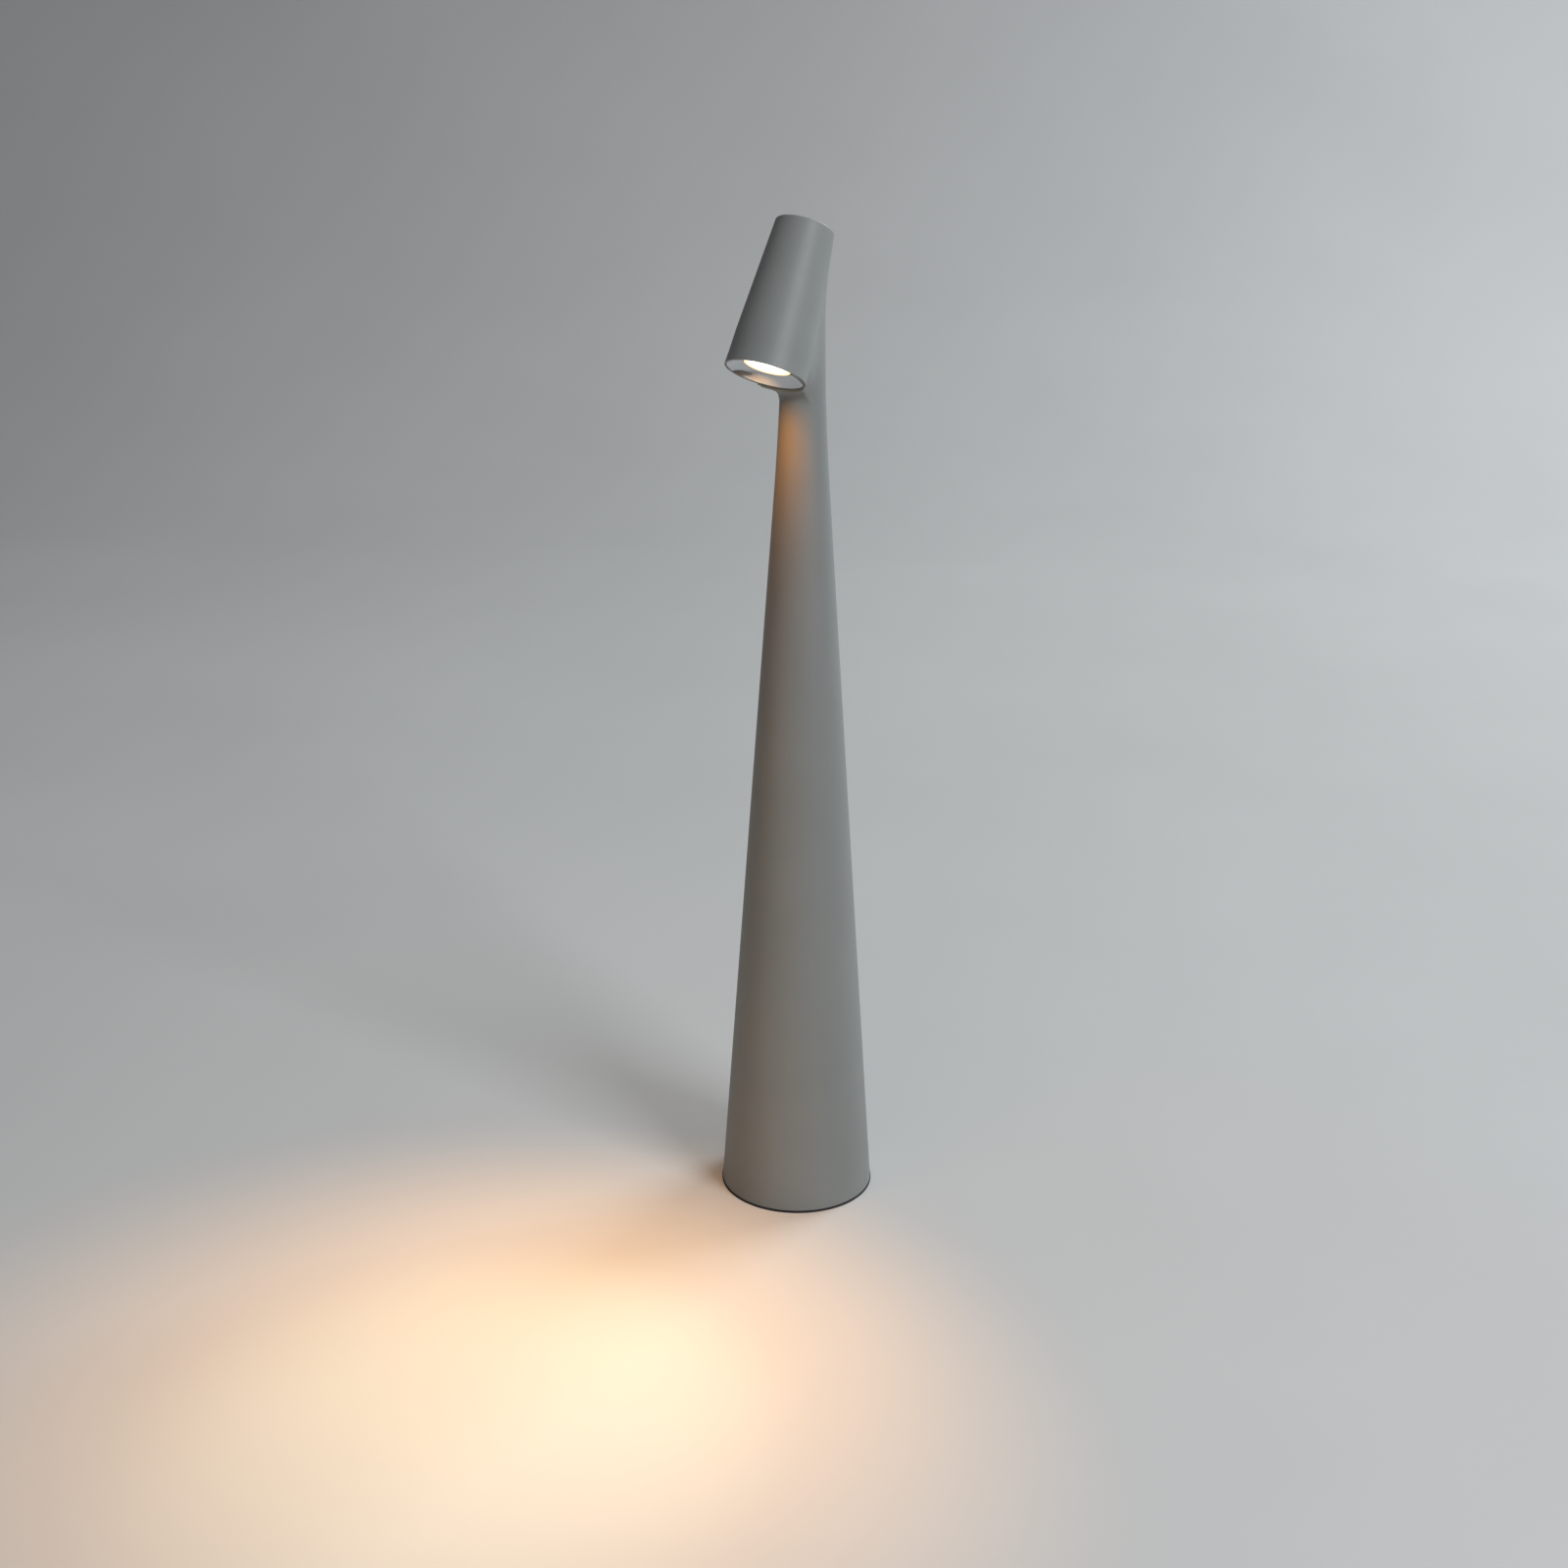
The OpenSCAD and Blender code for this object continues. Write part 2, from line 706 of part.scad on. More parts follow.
board_bottom = port_z - 2.8;
socket_board_t = 1.2;
socket_h = 3.2;
socket_w = 8.94;
socket_l = 7.3;
small_screw_r = 1;
skin_y = body_r(port_z);
floor_y = skin_y - recess_depth;
post_x = 6.4;
post_y = (main_y + main_t + floor_y - socket_l) / 2;
floor_t = 1.5;
flap_w = 17;
flap_gap = 0.3;
pin_z = port_z - recess_h / 2 - 2.7;
flap_top = port_z + recess_h / 2 + 2.5;
flap_mid_z = (pin_z + flap_top) / 2;
frame_w = 23;
frame_low = pin_z - 4.4;
frame_high = flap_top + 2.4;
frame_h = frame_high - frame_low;
frame_mid_z = (frame_low + frame_high) / 2;
pin_r = pin_d / 2;
barrel_out = 1.25;
barrel_w = 12;
pin_l = flap_w + 2 * flap_gap + 3.2;
pin_y = body_r(pin_z) - 0.45 - barrel_out;
groove_r = body_r(pin_z) - pin_y + 0.25;
pipe_z = frame_high + 7.4;
pipe_r = 1.2;
open_angle = 120;

module socket_board() {
    face = main_y + main_t;
    color(board_green) difference() {
        translate([-9, face, board_bottom])
            cube([18, floor_y - floor_t - 0.3 - face, socket_board_t]);
        for (sx = [-1, 1]) translate([sx * post_x, post_y, board_bottom - 1])
            cylinder(r = small_screw_r + 0.1, h = 4, $fn = 32);
    }
}

module socket_screws() {
    color(steel) for (sx = [-1, 1])
        translate([sx * post_x, post_y, board_bottom + socket_board_t])
            pan_screw(small_screw_r, 1.9, 1.2, 3.4);
}

module stadium(w, h, front, back) {
    rounded_bar(w, h, h / 2 - 0.01, front, back);
}

module usb_socket() {
    color("#c4c6c8") translate([0, 0, port_z]) difference() {
        stadium(socket_w, socket_h, floor_y - socket_l, floor_y);
        stadium(socket_w - 0.6, socket_h - 0.6, floor_y - socket_l + 0.8, floor_y + 1);
    }
}

module usb_tongue() {
    color("#17181a") translate([-3.3, floor_y - socket_l + 0.8, port_z - 0.35])
        cube([6.6, socket_l - 1.6, 0.7]);
}

module charge_lamp() {
    color("#f3f6ee") translate([-1.5, main_y + main_t, pipe_z - 1.5]) cube([3, 1.6, 3]);
}

module light_pipe() {
    start = main_y + main_t + 1.6;
    color("#dfe9e6") intersection() {
        translate([0, start, pipe_z]) rotate([-90, 0, 0]) cylinder(r = pipe_r, h = base_r);
        body_form(0, pipe_z - 4, pipe_z + 4);
    }
}

module port_frame() {
    recess_round = 2;
    ear_pocket = flap_w / 2 + flap_gap;
    color("#3b3e40") difference() {
        union() {
            intersection() {
                translate([0, 0, frame_mid_z])
                    rounded_bar(frame_w, frame_h, 2, floor_y - floor_t, base_r + 2);
                body_form(0.03, frame_low - 2, frame_high + 2);
            }
            // flange behind the casing's wall
            intersection() {
                translate([0, 0, frame_mid_z])
                    rounded_bar(frame_w + 4, frame_h + 3, 3, floor_y - floor_t, base_r + 2);
                difference() {
                    body_form(wall + loose_gap, frame_low - 4, frame_high + 4);
                    body_form(wall + 1.6, frame_low - 5, frame_high + 5);
                }
            }
        }
        // recess for the plug, and the slot that the socket stands in
        translate([0, 0, port_z])
            rounded_bar(recess_w, recess_h, recess_round, floor_y, base_r + 3);
        translate([0, 0, port_z]) stadium(socket_w + 0.3, socket_h + 0.3,
            floor_y - floor_t - 1, floor_y + 1);
        // rebate that the flap lies in
        difference() {
            translate([0, 0, flap_mid_z])
                rounded_bar(flap_w + 2 * flap_gap, flap_top - pin_z + 2 * flap_gap, 1.5,
                            floor_y, base_r + 3);
            body_form(flap_t + 0.1, frame_low - 2, frame_high + 2);
        }
        // groove for the hinge barrel, and the slope that lets the flap fold down
        translate([-ear_pocket, pin_y, pin_z]) rotate([0, 90, 0])
            cylinder(r = groove_r, h = 2 * ear_pocket);
        translate([-ear_pocket, pin_y, pin_z]) rotate([90 - open_angle, 0, 0])
            translate([0, 0, -groove_r]) cube([2 * ear_pocket, 12, groove_r + pin_d]);
        // hole for the hinge pin
        translate([-pin_l / 2 - 0.1, pin_y, pin_z]) rotate([0, 90, 0])
            cylinder(r = pin_r + thread_gap, h = pin_l + 0.2);
        // scoop for a fingernail
        translate([0, body_r(flap_top) + 2.2, flap_top + 0.6]) sphere(r = 3.4, $fn = 48);
    }
}

module port_flap() {
    color(grey_rubber) difference() {
        union() {
            intersection() {
                translate([0, 0, flap_mid_z])
                    rounded_bar(flap_w, flap_top - pin_z, 1.3, floor_y, base_r + 3);
                difference() {
                    body_form(0.03, pin_z - 3, flap_top + 3);
                    body_form(flap_t, pin_z - 4, flap_top + 4);
                }
            }
            // barrel
            translate([-barrel_w / 2, pin_y, pin_z]) rotate([0, 90, 0])
                cylinder(r = barrel_out, h = barrel_w);
            // plug rib that fills the mouth of the recess
            intersection() {
                translate([0, 0, port_z])
                    rounded_bar(recess_w - 0.7, recess_h - 0.7, 1.7, floor_y, base_r);
                difference() {
                    body_form(flap_t - eps, pin_z - 3, flap_top + 3);
                    body_form(flap_t + 0.9, pin_z - 4, flap_top + 4);
                }
            }
        }
        translate([-flap_w / 2 - 1, pin_y, pin_z]) rotate([0, 90, 0])
            cylinder(r = pin_r + thread_gap, h = flap_w + 2);
    }
}

module flap_pin() {
    color(steel) translate([-pin_l / 2, pin_y, pin_z]) rotate([0, 90, 0])
        cylinder(r = pin_r, h = pin_l);
}

// ---- leads ----

plug_u = bore_h + fin_h;
plug_size = [8, 6, 7];
cable_end_u = plug_u + 4.5;

module head_plug() {
    color(nylon) in_head() difference() {
        translate([-plug_size[0] / 2, -plug_size[1] / 2, plug_u]) cube(plug_size);
        for (sx = [-1, 1])
            translate([sx * 2 - 0.6, -plug_size[1] / 2 - 1, plug_u + 4.6]) cube([1.2, 2.2, 1.2]);
    }
}

module led_leads() {
    back = plug_size[1] / 2;
    wire_r = 0.5;
    for (sx = [-1, 1])
        color(sx < 0 ? "#b3262a" : "#202022") in_head()
            tube_along(smooth_path([
                [sx * 1, back + 0.1, plug_u + 1.4], [sx * 1, back + 3, plug_u + 1.2],
                [sx * 1, lead_y - 1, plug_u - 3], [sx * 1, lead_y, plug_u - 8],
                [sx * 1, lead_y, bore_h], [sx * 1, lead_y, board_low + 0.1]], 3),
                wire_r, 8);
}

module touch_lead() {
    top_u = plug_u + plug_size[2];
    color("#d8d4c6") in_head()
        tube_along(smooth_path([
            [0, 0, top_u + 0.1], [0, 0.6, top_u + 3], [0, 1.4, (top_u + board_u) / 2],
            [0, 0.6, board_u - 3], [0, 0, board_u - 0.1]], 3), 0.5, 8);
}

// Place in the part's frame of a point given in the head's frame
function head_point(y, u) = [0,
    rim_y + y * cos(head_tilt) + u * sin(head_tilt),
    rim_z - y * sin(head_tilt) + u * cos(head_tilt)];

// The lead starts in the socket on the main board and ends in the plug in the head
cable_start = [9, main_y + main_t + 3.9, top_low - 2];
plug_back = plug_size[1] / 2;
// Height at which the head's cavity breaks into the bore of the neck
lip_z = pivot_z - (neck_r - wall + head_in_r(plug_u) / cos(head_tilt)) / tan(head_tilt);
run_low = top_low + 70;
run_high = lip_z - 18;
run_steps = 8;
cable_stations = concat(
    [cable_start,
     [cable_start[0], cable_start[1], top_low + 6],
     [cable_start[0] * 0.8, cable_start[1] * 0.75, top_low + 22],
     [cable_start[0] * 0.35, cable_start[1] * 0.3, top_low + 44]],
    [for (i = [0 : run_steps]) [0, 0, run_low + (run_high - run_low) * i / run_steps]],
    [[0, -1, lip_z - 5], [0, (wall - neck_r) / 2, lip_z + 4],
     head_point(plug_back + 8, cable_end_u - 1),
     head_point(plug_back + 3, cable_end_u), head_point(plug_back + 0.1, cable_end_u)]);
collar_heights = [cone_h * 0.7, cone_h];
collar_l = 12;

module head_cable() {
    color("#26272a") tube_along(smooth_path(cable_stations, 3), cable_d / 2, 8);
}

module cable_collars() {
    color("#3a3c3f")
        for (z = collar_heights)
            difference() {
                body_form(wall + gap, z, z + collar_l);
                translate([0, 0, z - 1]) cylinder(r = cable_d / 2 + 0.05, h = collar_l + 2);
            }
}

body_shell();
touch_cap();
cap_seal();
touch_spring();
touch_board();
touch_chips();
touch_screws();
touch_carrier();
touch_lead();
reflector();
head_seal();
lens();
light_cup();
led_board();
led_chip();
led_screws();
heat_sink();
head_plug();
led_leads();
head_cable();
cable_collars();
foot_pad();
base_plate();
base_seal();
base_screws();
base_ring();
ballast();
ballast_screws();
carrier_base();
carrier_top();
tie_rods();
tie_nuts();
battery_cells();
battery_straps();
main_board();
board_parts();
cable_socket();
charge_lamp();
light_pipe();
socket_board();
socket_screws();
usb_socket();
usb_tongue();
port_frame();
port_flap();
flap_pin();
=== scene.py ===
import math

import bmesh
import bpy
import numpy as np
from mathutils import Matrix, Vector


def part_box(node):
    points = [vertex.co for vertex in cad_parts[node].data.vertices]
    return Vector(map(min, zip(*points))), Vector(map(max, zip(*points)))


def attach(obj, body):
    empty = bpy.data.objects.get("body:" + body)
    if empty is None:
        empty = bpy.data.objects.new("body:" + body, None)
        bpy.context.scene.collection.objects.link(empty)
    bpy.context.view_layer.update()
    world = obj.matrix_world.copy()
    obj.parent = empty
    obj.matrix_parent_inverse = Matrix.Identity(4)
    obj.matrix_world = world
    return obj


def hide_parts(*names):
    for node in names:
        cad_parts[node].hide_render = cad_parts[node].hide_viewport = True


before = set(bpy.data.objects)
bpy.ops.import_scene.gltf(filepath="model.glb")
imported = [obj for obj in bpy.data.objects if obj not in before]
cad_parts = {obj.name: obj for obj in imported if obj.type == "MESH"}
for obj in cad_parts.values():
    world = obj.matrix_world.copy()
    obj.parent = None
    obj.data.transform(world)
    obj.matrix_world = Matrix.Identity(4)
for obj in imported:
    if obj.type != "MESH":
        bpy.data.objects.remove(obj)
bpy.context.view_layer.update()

mm = 0.001
pastFace = 1                            # mm that a cutter runs past the face it opens


def linearColor(hexValue):
    # sRGB hex to the linear values that shaders take
    parts = [int(hexValue[i:i + 2], 16) / 255 for i in (1, 3, 5)]
    linear = [c / 12.92 if c <= 0.04045 else ((c + 0.055) / 1.055) ** 2.4 for c in parts]
    return (*linear, 1.0)


def addNode(tree, kind, settings=None, links=None):
    # a node with its settings and links; a key that names an input sets that input
    node = tree.nodes.new(kind)
    for key, value in (settings or {}).items():
        if key == "ramp":
            for index, (place, color) in enumerate(value):
                if index > 1:
                    node.color_ramp.elements.new(place)
                node.color_ramp.elements[index].position = place
                node.color_ramp.elements[index].color = color
        elif key in node.inputs:
            node.inputs[key].default_value = value
        else:
            setattr(node, key, value)
    for key, source in (links or {}).items():
        tree.links.new(source, node.inputs[key])
    return node


def startMaterial(name):
    material = bpy.data.materials.new(name)
    material.use_nodes = True
    tree = material.node_tree
    tree.nodes.clear()
    place = addNode(tree, "ShaderNodeTexCoord").outputs["Object"]
    return material, tree, place


def closeMaterial(tree, settings, links):
    shader = addNode(tree, "ShaderNodeBsdfPrincipled", settings, links)
    addNode(tree, "ShaderNodeOutputMaterial", links={"Surface": shader.outputs["BSDF"]})


def grainMaterial(name, finish):
    # a plain finish: colour that drifts between two tones, and a fine grain in gloss and relief
    material, tree, place = startMaterial(name)
    stretch = addNode(tree, "ShaderNodeMapping", {"Scale": finish.get("stretch", (1, 1, 1))},
                      {"Vector": place}).outputs["Vector"]
    drift = addNode(tree, "ShaderNodeTexNoise",
                    {"Scale": 1 / (finish["driftSize"] * mm), "Detail": 3.0}, {"Vector": place})
    grain = addNode(tree, "ShaderNodeTexNoise",
                    {"Scale": 1 / (finish["grainSize"] * mm), "Detail": 4.0}, {"Vector": stretch})
    darkEnd, lightEnd = 0.3, 0.7        # noise rarely goes past these
    tone = addNode(tree, "ShaderNodeValToRGB",
                   {"ramp": [(darkEnd, linearColor(finish["dark"])),
                             (lightEnd, linearColor(finish["light"]))]},
                   {"Fac": drift.outputs["Fac"]})
    low, high = finish["roughness"]
    gloss = addNode(tree, "ShaderNodeMapRange",
                    {"From Min": darkEnd, "From Max": lightEnd, "To Min": low, "To Max": high},
                    {"Value": grain.outputs["Fac"]})
    relief = addNode(tree, "ShaderNodeBump",
                     {"Strength": 1.0, "Distance": finish["relief"] * mm},
                     {"Height": grain.outputs["Fac"]})
    closeMaterial(tree, finish.get("shader", {}),
                  {"Base Color": tone.outputs["Color"], "Roughness": gloss.outputs["Result"],
                   "Normal": relief.outputs["Normal"]})
    return material


def satinPowderCoat():
    # polyester powder coat, fine satin: an even neutral grey, a soft sheen and faint orange peel;
    # the peel is really about 0.5 mm across and is drawn at 1.1 mm so that it shows
    return grainMaterial("satinPowderCoat", {
        "dark": "#7e8280", "light": "#838785", "driftSize": 60, "grainSize": 1.1,
        "roughness": (0.48, 0.55), "relief": 0.012, "shader": {"IOR": 1.5}})


def chromedDish():
    # ABS with decorative chrome: a bright mirror with very slight waves from the moulding
    return grainMaterial("chromedDish", {
        "dark": "#cfd0d2", "light": "#d8d8d9", "driftSize": 9, "grainSize": 6,
        "roughness": (0.08, 0.13), "relief": 0.02, "shader": {"Metallic": 1.0}})


def frostedLens(glow):
    # frosted PMMA over the LED: brightest in the middle, warmer towards its edge
    material, tree, place = startMaterial("frostedLens")
    centered = addNode(tree, "ShaderNodeMapping", {"Location": -Vector(glow["centre"])},
                       {"Vector": place})
    radius = addNode(tree, "ShaderNodeVectorMath", {"operation": "LENGTH"},
                     {0: centered.outputs["Vector"]})
    share = addNode(tree, "ShaderNodeMapRange",
                    {"From Min": 0.0, "From Max": glow["radius"], "To Min": 0.0, "To Max": 1.0},
                    {"Value": radius.outputs["Value"]})
    warmth = addNode(tree, "ShaderNodeValToRGB",
                     {"ramp": [(glow["even"], linearColor(glow["middle"])),
                               (1.0, linearColor(glow["edge"]))]},
                     {"Fac": share.outputs["Result"]})
    power = addNode(tree, "ShaderNodeMapRange",
                    {"From Min": glow["even"], "From Max": 1.0,
                     "To Min": glow["high"], "To Max": glow["low"]},
                    {"Value": share.outputs["Result"]})
    frost = addNode(tree, "ShaderNodeTexVoronoi", {"Scale": 1 / (glow["frostSize"] * mm)},
                    {"Vector": place})
    relief = addNode(tree, "ShaderNodeBump",
                     {"Strength": 1.0, "Distance": glow["frostDepth"] * mm},
                     {"Height": frost.outputs["Distance"]})
    closeMaterial(tree, {"Base Color": linearColor("#f2ead8"), "Roughness": 0.35, "IOR": 1.49},
                  {"Emission Color": warmth.outputs["Color"],
                   "Emission Strength": power.outputs["Result"],
                   "Normal": relief.outputs["Normal"]})
    return material


def matRubber():
    # black EPDM, moulded: dull, with a fine matt grain and a trace of grey bloom
    return grainMaterial("matRubber", {
        "dark": "#161617", "light": "#1f1f20", "driftSize": 12, "grainSize": 0.5,
        "roughness": (0.7, 0.85), "relief": 0.02, "shader": {"IOR": 1.52}})


def flapRubber():
    # silicone coloured to the coat: the same grey, duller, with a spark-eroded grain
    return grainMaterial("flapRubber", {
        "dark": "#6e7270", "light": "#757977", "driftSize": 10, "grainSize": 0.4,
        "roughness": (0.6, 0.75), "relief": 0.02, "shader": {"IOR": 1.42}})


def mouldedBlack():
    # glass-filled nylon, moulded black: low sheen over a fine spark grain
    return grainMaterial("mouldedBlack", {
        "dark": "#26282a", "light": "#2e3032", "driftSize": 14, "grainSize": 0.45,
        "roughness": (0.48, 0.62), "relief": 0.015, "shader": {"IOR": 1.53}})


def naturalNylon():
    # unfilled nylon: milky, slightly waxy
    return grainMaterial("naturalNylon", {
        "dark": "#dcd8cb", "light": "#e8e5da", "driftSize": 8, "grainSize": 0.7,
        "roughness": (0.4, 0.5), "relief": 0.01,
        "shader": {"IOR": 1.53, "Subsurface Weight": 0.15, "Subsurface Scale": 1.0 * mm}})


def whiteReflectorPlastic():
    # highly filled white polycarbonate for bouncing light: flat and very pale
    return grainMaterial("whiteReflectorPlastic", {
        "dark": "#efeee8", "light": "#f6f5f1", "driftSize": 10, "grainSize": 0.6,
        "roughness": (0.5, 0.6), "relief": 0.006, "shader": {"IOR": 1.58}})


def zincSteel():
    # zinc-plated steel: bluish bright metal with a drifting bloom
    return grainMaterial("zincSteel", {
        "dark": "#a9adb2", "light": "#bcbfc1", "driftSize": 3, "grainSize": 0.35,
        "roughness": (0.25, 0.4), "relief": 0.006, "shader": {"Metallic": 1.0}})


def turnedAluminium():
    # aluminium 6063, machined: fine tool lines that run round the axis
    return grainMaterial("turnedAluminium", {
        "dark": "#b3b5b7", "light": "#c2c3c4", "driftSize": 12, "grainSize": 0.5,
        "stretch": (0.15, 0.15, 1.0), "roughness": (0.26, 0.4), "relief": 0.01,
        "shader": {"Metallic": 1.0}})


def blackenedIron():
    # grey cast iron, sand cast and blackened: coarse skin with dull highlights
    return grainMaterial("blackenedIron", {
        "dark": "#3b3c3e", "light": "#4c4d4f", "driftSize": 15, "grainSize": 1.4,
        "roughness": (0.5, 0.7), "relief": 0.12, "shader": {"Metallic": 0.85}})


def solderMask():
    # glass-epoxy board under green solder mask: glossy lacquer with a faint weave
    return grainMaterial("solderMask", {
        "dark": "#17603a", "light": "#1d6f45", "driftSize": 7, "grainSize": 0.6,
        "roughness": (0.22, 0.3), "relief": 0.01,
        "shader": {"IOR": 1.55, "Coat Weight": 0.4, "Coat Roughness": 0.1}})


def chipEpoxy():
    # transfer-moulded epoxy of chips: near black with a fine matt texture
    return grainMaterial("chipEpoxy", {
        "dark": "#202123", "light": "#2a2b2d", "driftSize": 4, "grainSize": 0.25,
        "roughness": (0.45, 0.55), "relief": 0.008, "shader": {"IOR": 1.55}})


def phosphorGel():
    # silicone gel filled with yellow phosphor over the LED dies
    return grainMaterial("phosphorGel", {
        "dark": "#e3b02c", "light": "#f0c64a", "driftSize": 2, "grainSize": 0.3,
        "roughness": (0.3, 0.4), "relief": 0.01, "shader": {"IOR": 1.41}})


def closedCellFoam():
    # polyethylene foam: charcoal, with visible cells of about a millimetre
    return grainMaterial("closedCellFoam", {
        "dark": "#2c2d2f", "light": "#3a3b3d", "driftSize": 5, "grainSize": 1.2,
        "roughness": (0.8, 0.95), "relief": 0.25, "shader": {"IOR": 1.5}})


def cableJacket():
    # soft black PVC jacket: low sheen with slight drag lines from the die
    return grainMaterial("cableJacket", {
        "dark": "#1b1b1d", "light": "#242426", "driftSize": 12, "grainSize": 0.5,
        "stretch": (1.0, 1.0, 0.1), "roughness": (0.4, 0.5), "relief": 0.01,
        "shader": {"IOR": 1.53}})


def paleLead():
    # ivory silicone insulation: smooth and slightly translucent
    return grainMaterial("paleLead", {
        "dark": "#d6d0bd", "light": "#e0dbcb", "driftSize": 5, "grainSize": 0.4,
        "roughness": (0.4, 0.5), "relief": 0.006, "shader": {"IOR": 1.42}})


def cellWrap():
    # blue PVC shrink wrap over a steel can: glossy, with faint shrink wrinkles
    return grainMaterial("cellWrap", {
        "dark": "#24559a", "light": "#2c62ad", "driftSize": 16, "grainSize": 3.5,
        "stretch": (1.0, 1.0, 0.3), "roughness": (0.22, 0.3), "relief": 0.06,
        "shader": {"IOR": 1.53}})


def clearPipe():
    # clear PMMA light pipe with a frosted end
    return grainMaterial("clearPipe", {
        "dark": "#dfeae6", "light": "#eef4f1", "driftSize": 4, "grainSize": 0.3,
        "roughness": (0.25, 0.4), "relief": 0.01,
        "shader": {"IOR": 1.49, "Transmission Weight": 0.6}})


def spinOutline(outline, steps, closed):
    # spins an outline of (radius, height) points, in mm, about Z; a closed one makes a ring
    bm = bmesh.new()
    verts = [bm.verts.new((radius, 0, height)) for radius, height in outline]
    edges = [bm.edges.new(pair) for pair in zip(verts, verts[1:])]
    if closed:
        edges.append(bm.edges.new((verts[-1], verts[0])))
    bmesh.ops.spin(bm, geom=verts + edges, axis=(0, 0, 1), cent=(0, 0, 0),
                   angle=math.tau, steps=steps, use_merge=True)
    bmesh.ops.remove_doubles(bm, verts=bm.verts, dist=0.0005)
    bmesh.ops.recalc_face_normals(bm, faces=bm.faces)
    return bm


def roundedOutline(corners, radii, steps):
    # an outline whose corners are rounded, each by its own radius
    outline = []
    count = len(corners)
    for index, (corner, radius) in enumerate(zip(corners, radii)):
        here = Vector(corner)
        if radius <= 0:
            outline.append(tuple(here))
            continue
        before = (Vector(corners[index - 1]) - here).normalized()
        after = (Vector(corners[(index + 1) % count]) - here).normalized()
        half = before.angle(after) / 2
        reach = radius / math.tan(half)
        centre = here + (before + after).normalized() * (radius / math.sin(half))
        first = here + before * reach - centre
        last = here + after * reach - centre
        turn = first.angle_signed(last)
        for step in range(steps + 1):
            spoke = Matrix.Rotation(-turn * step / steps, 2) @ first
            outline.append(tuple(centre + spoke))
    return outline


def meshObject(name, bm):
    mesh = bpy.data.meshes.new(name)
    bm.to_mesh(mesh)
    bm.free()
    piece = bpy.data.objects.new(name, mesh)
    bpy.context.scene.collection.objects.link(piece)
    return piece


def applyModifiers(piece):
    bpy.context.view_layer.update()
    evaluated = piece.evaluated_get(bpy.context.evaluated_depsgraph_get())
    mesh = bpy.data.meshes.new_from_object(evaluated)
    old = piece.data
    piece.modifiers.clear()
    piece.data = mesh
    mesh.name = piece.name
    bpy.data.meshes.remove(old)


def combine(piece, others, operation):
    # cuts, joins or keeps what is shared, then drops the other shapes
    for other in others:
        step = piece.modifiers.new("step", "BOOLEAN")
        step.operation = operation
        step.solver = "MANIFOLD"
        step.object = other
    applyModifiers(piece)
    for other in others:
        mesh = other.data
        bpy.data.objects.remove(other)
        bpy.data.meshes.remove(mesh)
    return piece


def roundedBar(width, height, radius, front, back, middle):
    # a bar along Y with rounded long edges, centred on X and on a height
    bm = bmesh.new()
    bmesh.ops.create_cube(bm, size=1)
    bmesh.ops.scale(bm, vec=(width, back - front, height), verts=bm.verts)
    bmesh.ops.translate(bm, vec=(0, (front + back) / 2, middle), verts=bm.verts)
    long = [e for e in bm.edges if abs(e.verts[0].co.y - e.verts[1].co.y) > 1e-6]
    bmesh.ops.bevel(bm, geom=long, offset=radius, offset_type="OFFSET", affect="EDGES",
                    segments=10, profile=0.5, material=-1)
    return meshObject("bar", bm)


def pinShape(radius, start, end, steps):
    # a round bar between two points
    bm = bmesh.new()
    start, end = Vector(start), Vector(end)
    turn = (end - start).to_track_quat("Z", "Y").to_matrix().to_4x4()
    bmesh.ops.create_cone(bm, cap_ends=True, segments=steps, radius1=radius, radius2=radius,
                          depth=(end - start).length,
                          matrix=Matrix.Translation((start + end) / 2) @ turn)
    return meshObject("pin", bm)


def finishPiece(piece, name, material, sharp, body, replaced):
    # millimetres to metres, crisp edges past an angle, and a place on its body
    piece.name = piece.data.name = name
    piece.data.transform(Matrix.Scale(mm, 4))
    piece.data.shade_smooth()
    piece.data.set_sharp_from_angle(angle=math.radians(sharp))
    piece.data.materials.clear()
    piece.data.materials.append(material)
    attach(piece, body)
    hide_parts(*replaced)
    print("made", name, "with", len(piece.data.polygons), "faces")


def boxCentre(node):
    low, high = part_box(node)
    return (low + high) / 2


# where the head sits, from the frame: the lens and the touch board are discs on its axis
lensMiddleDepth = 4.2                   # mm from the rim to the middle of the lens
headAxis = (boxCentre("touch_board") - boxCentre("lens")).normalized()
rimCentre = boxCentre("lens") / mm - headAxis * lensMiddleDepth
headLean = math.atan2(headAxis.y, headAxis.z)
toHead = Matrix.Translation(rimCentre) @ Matrix.Rotation(-headLean, 4, "X")
fromHead = np.array(toHead.inverted())


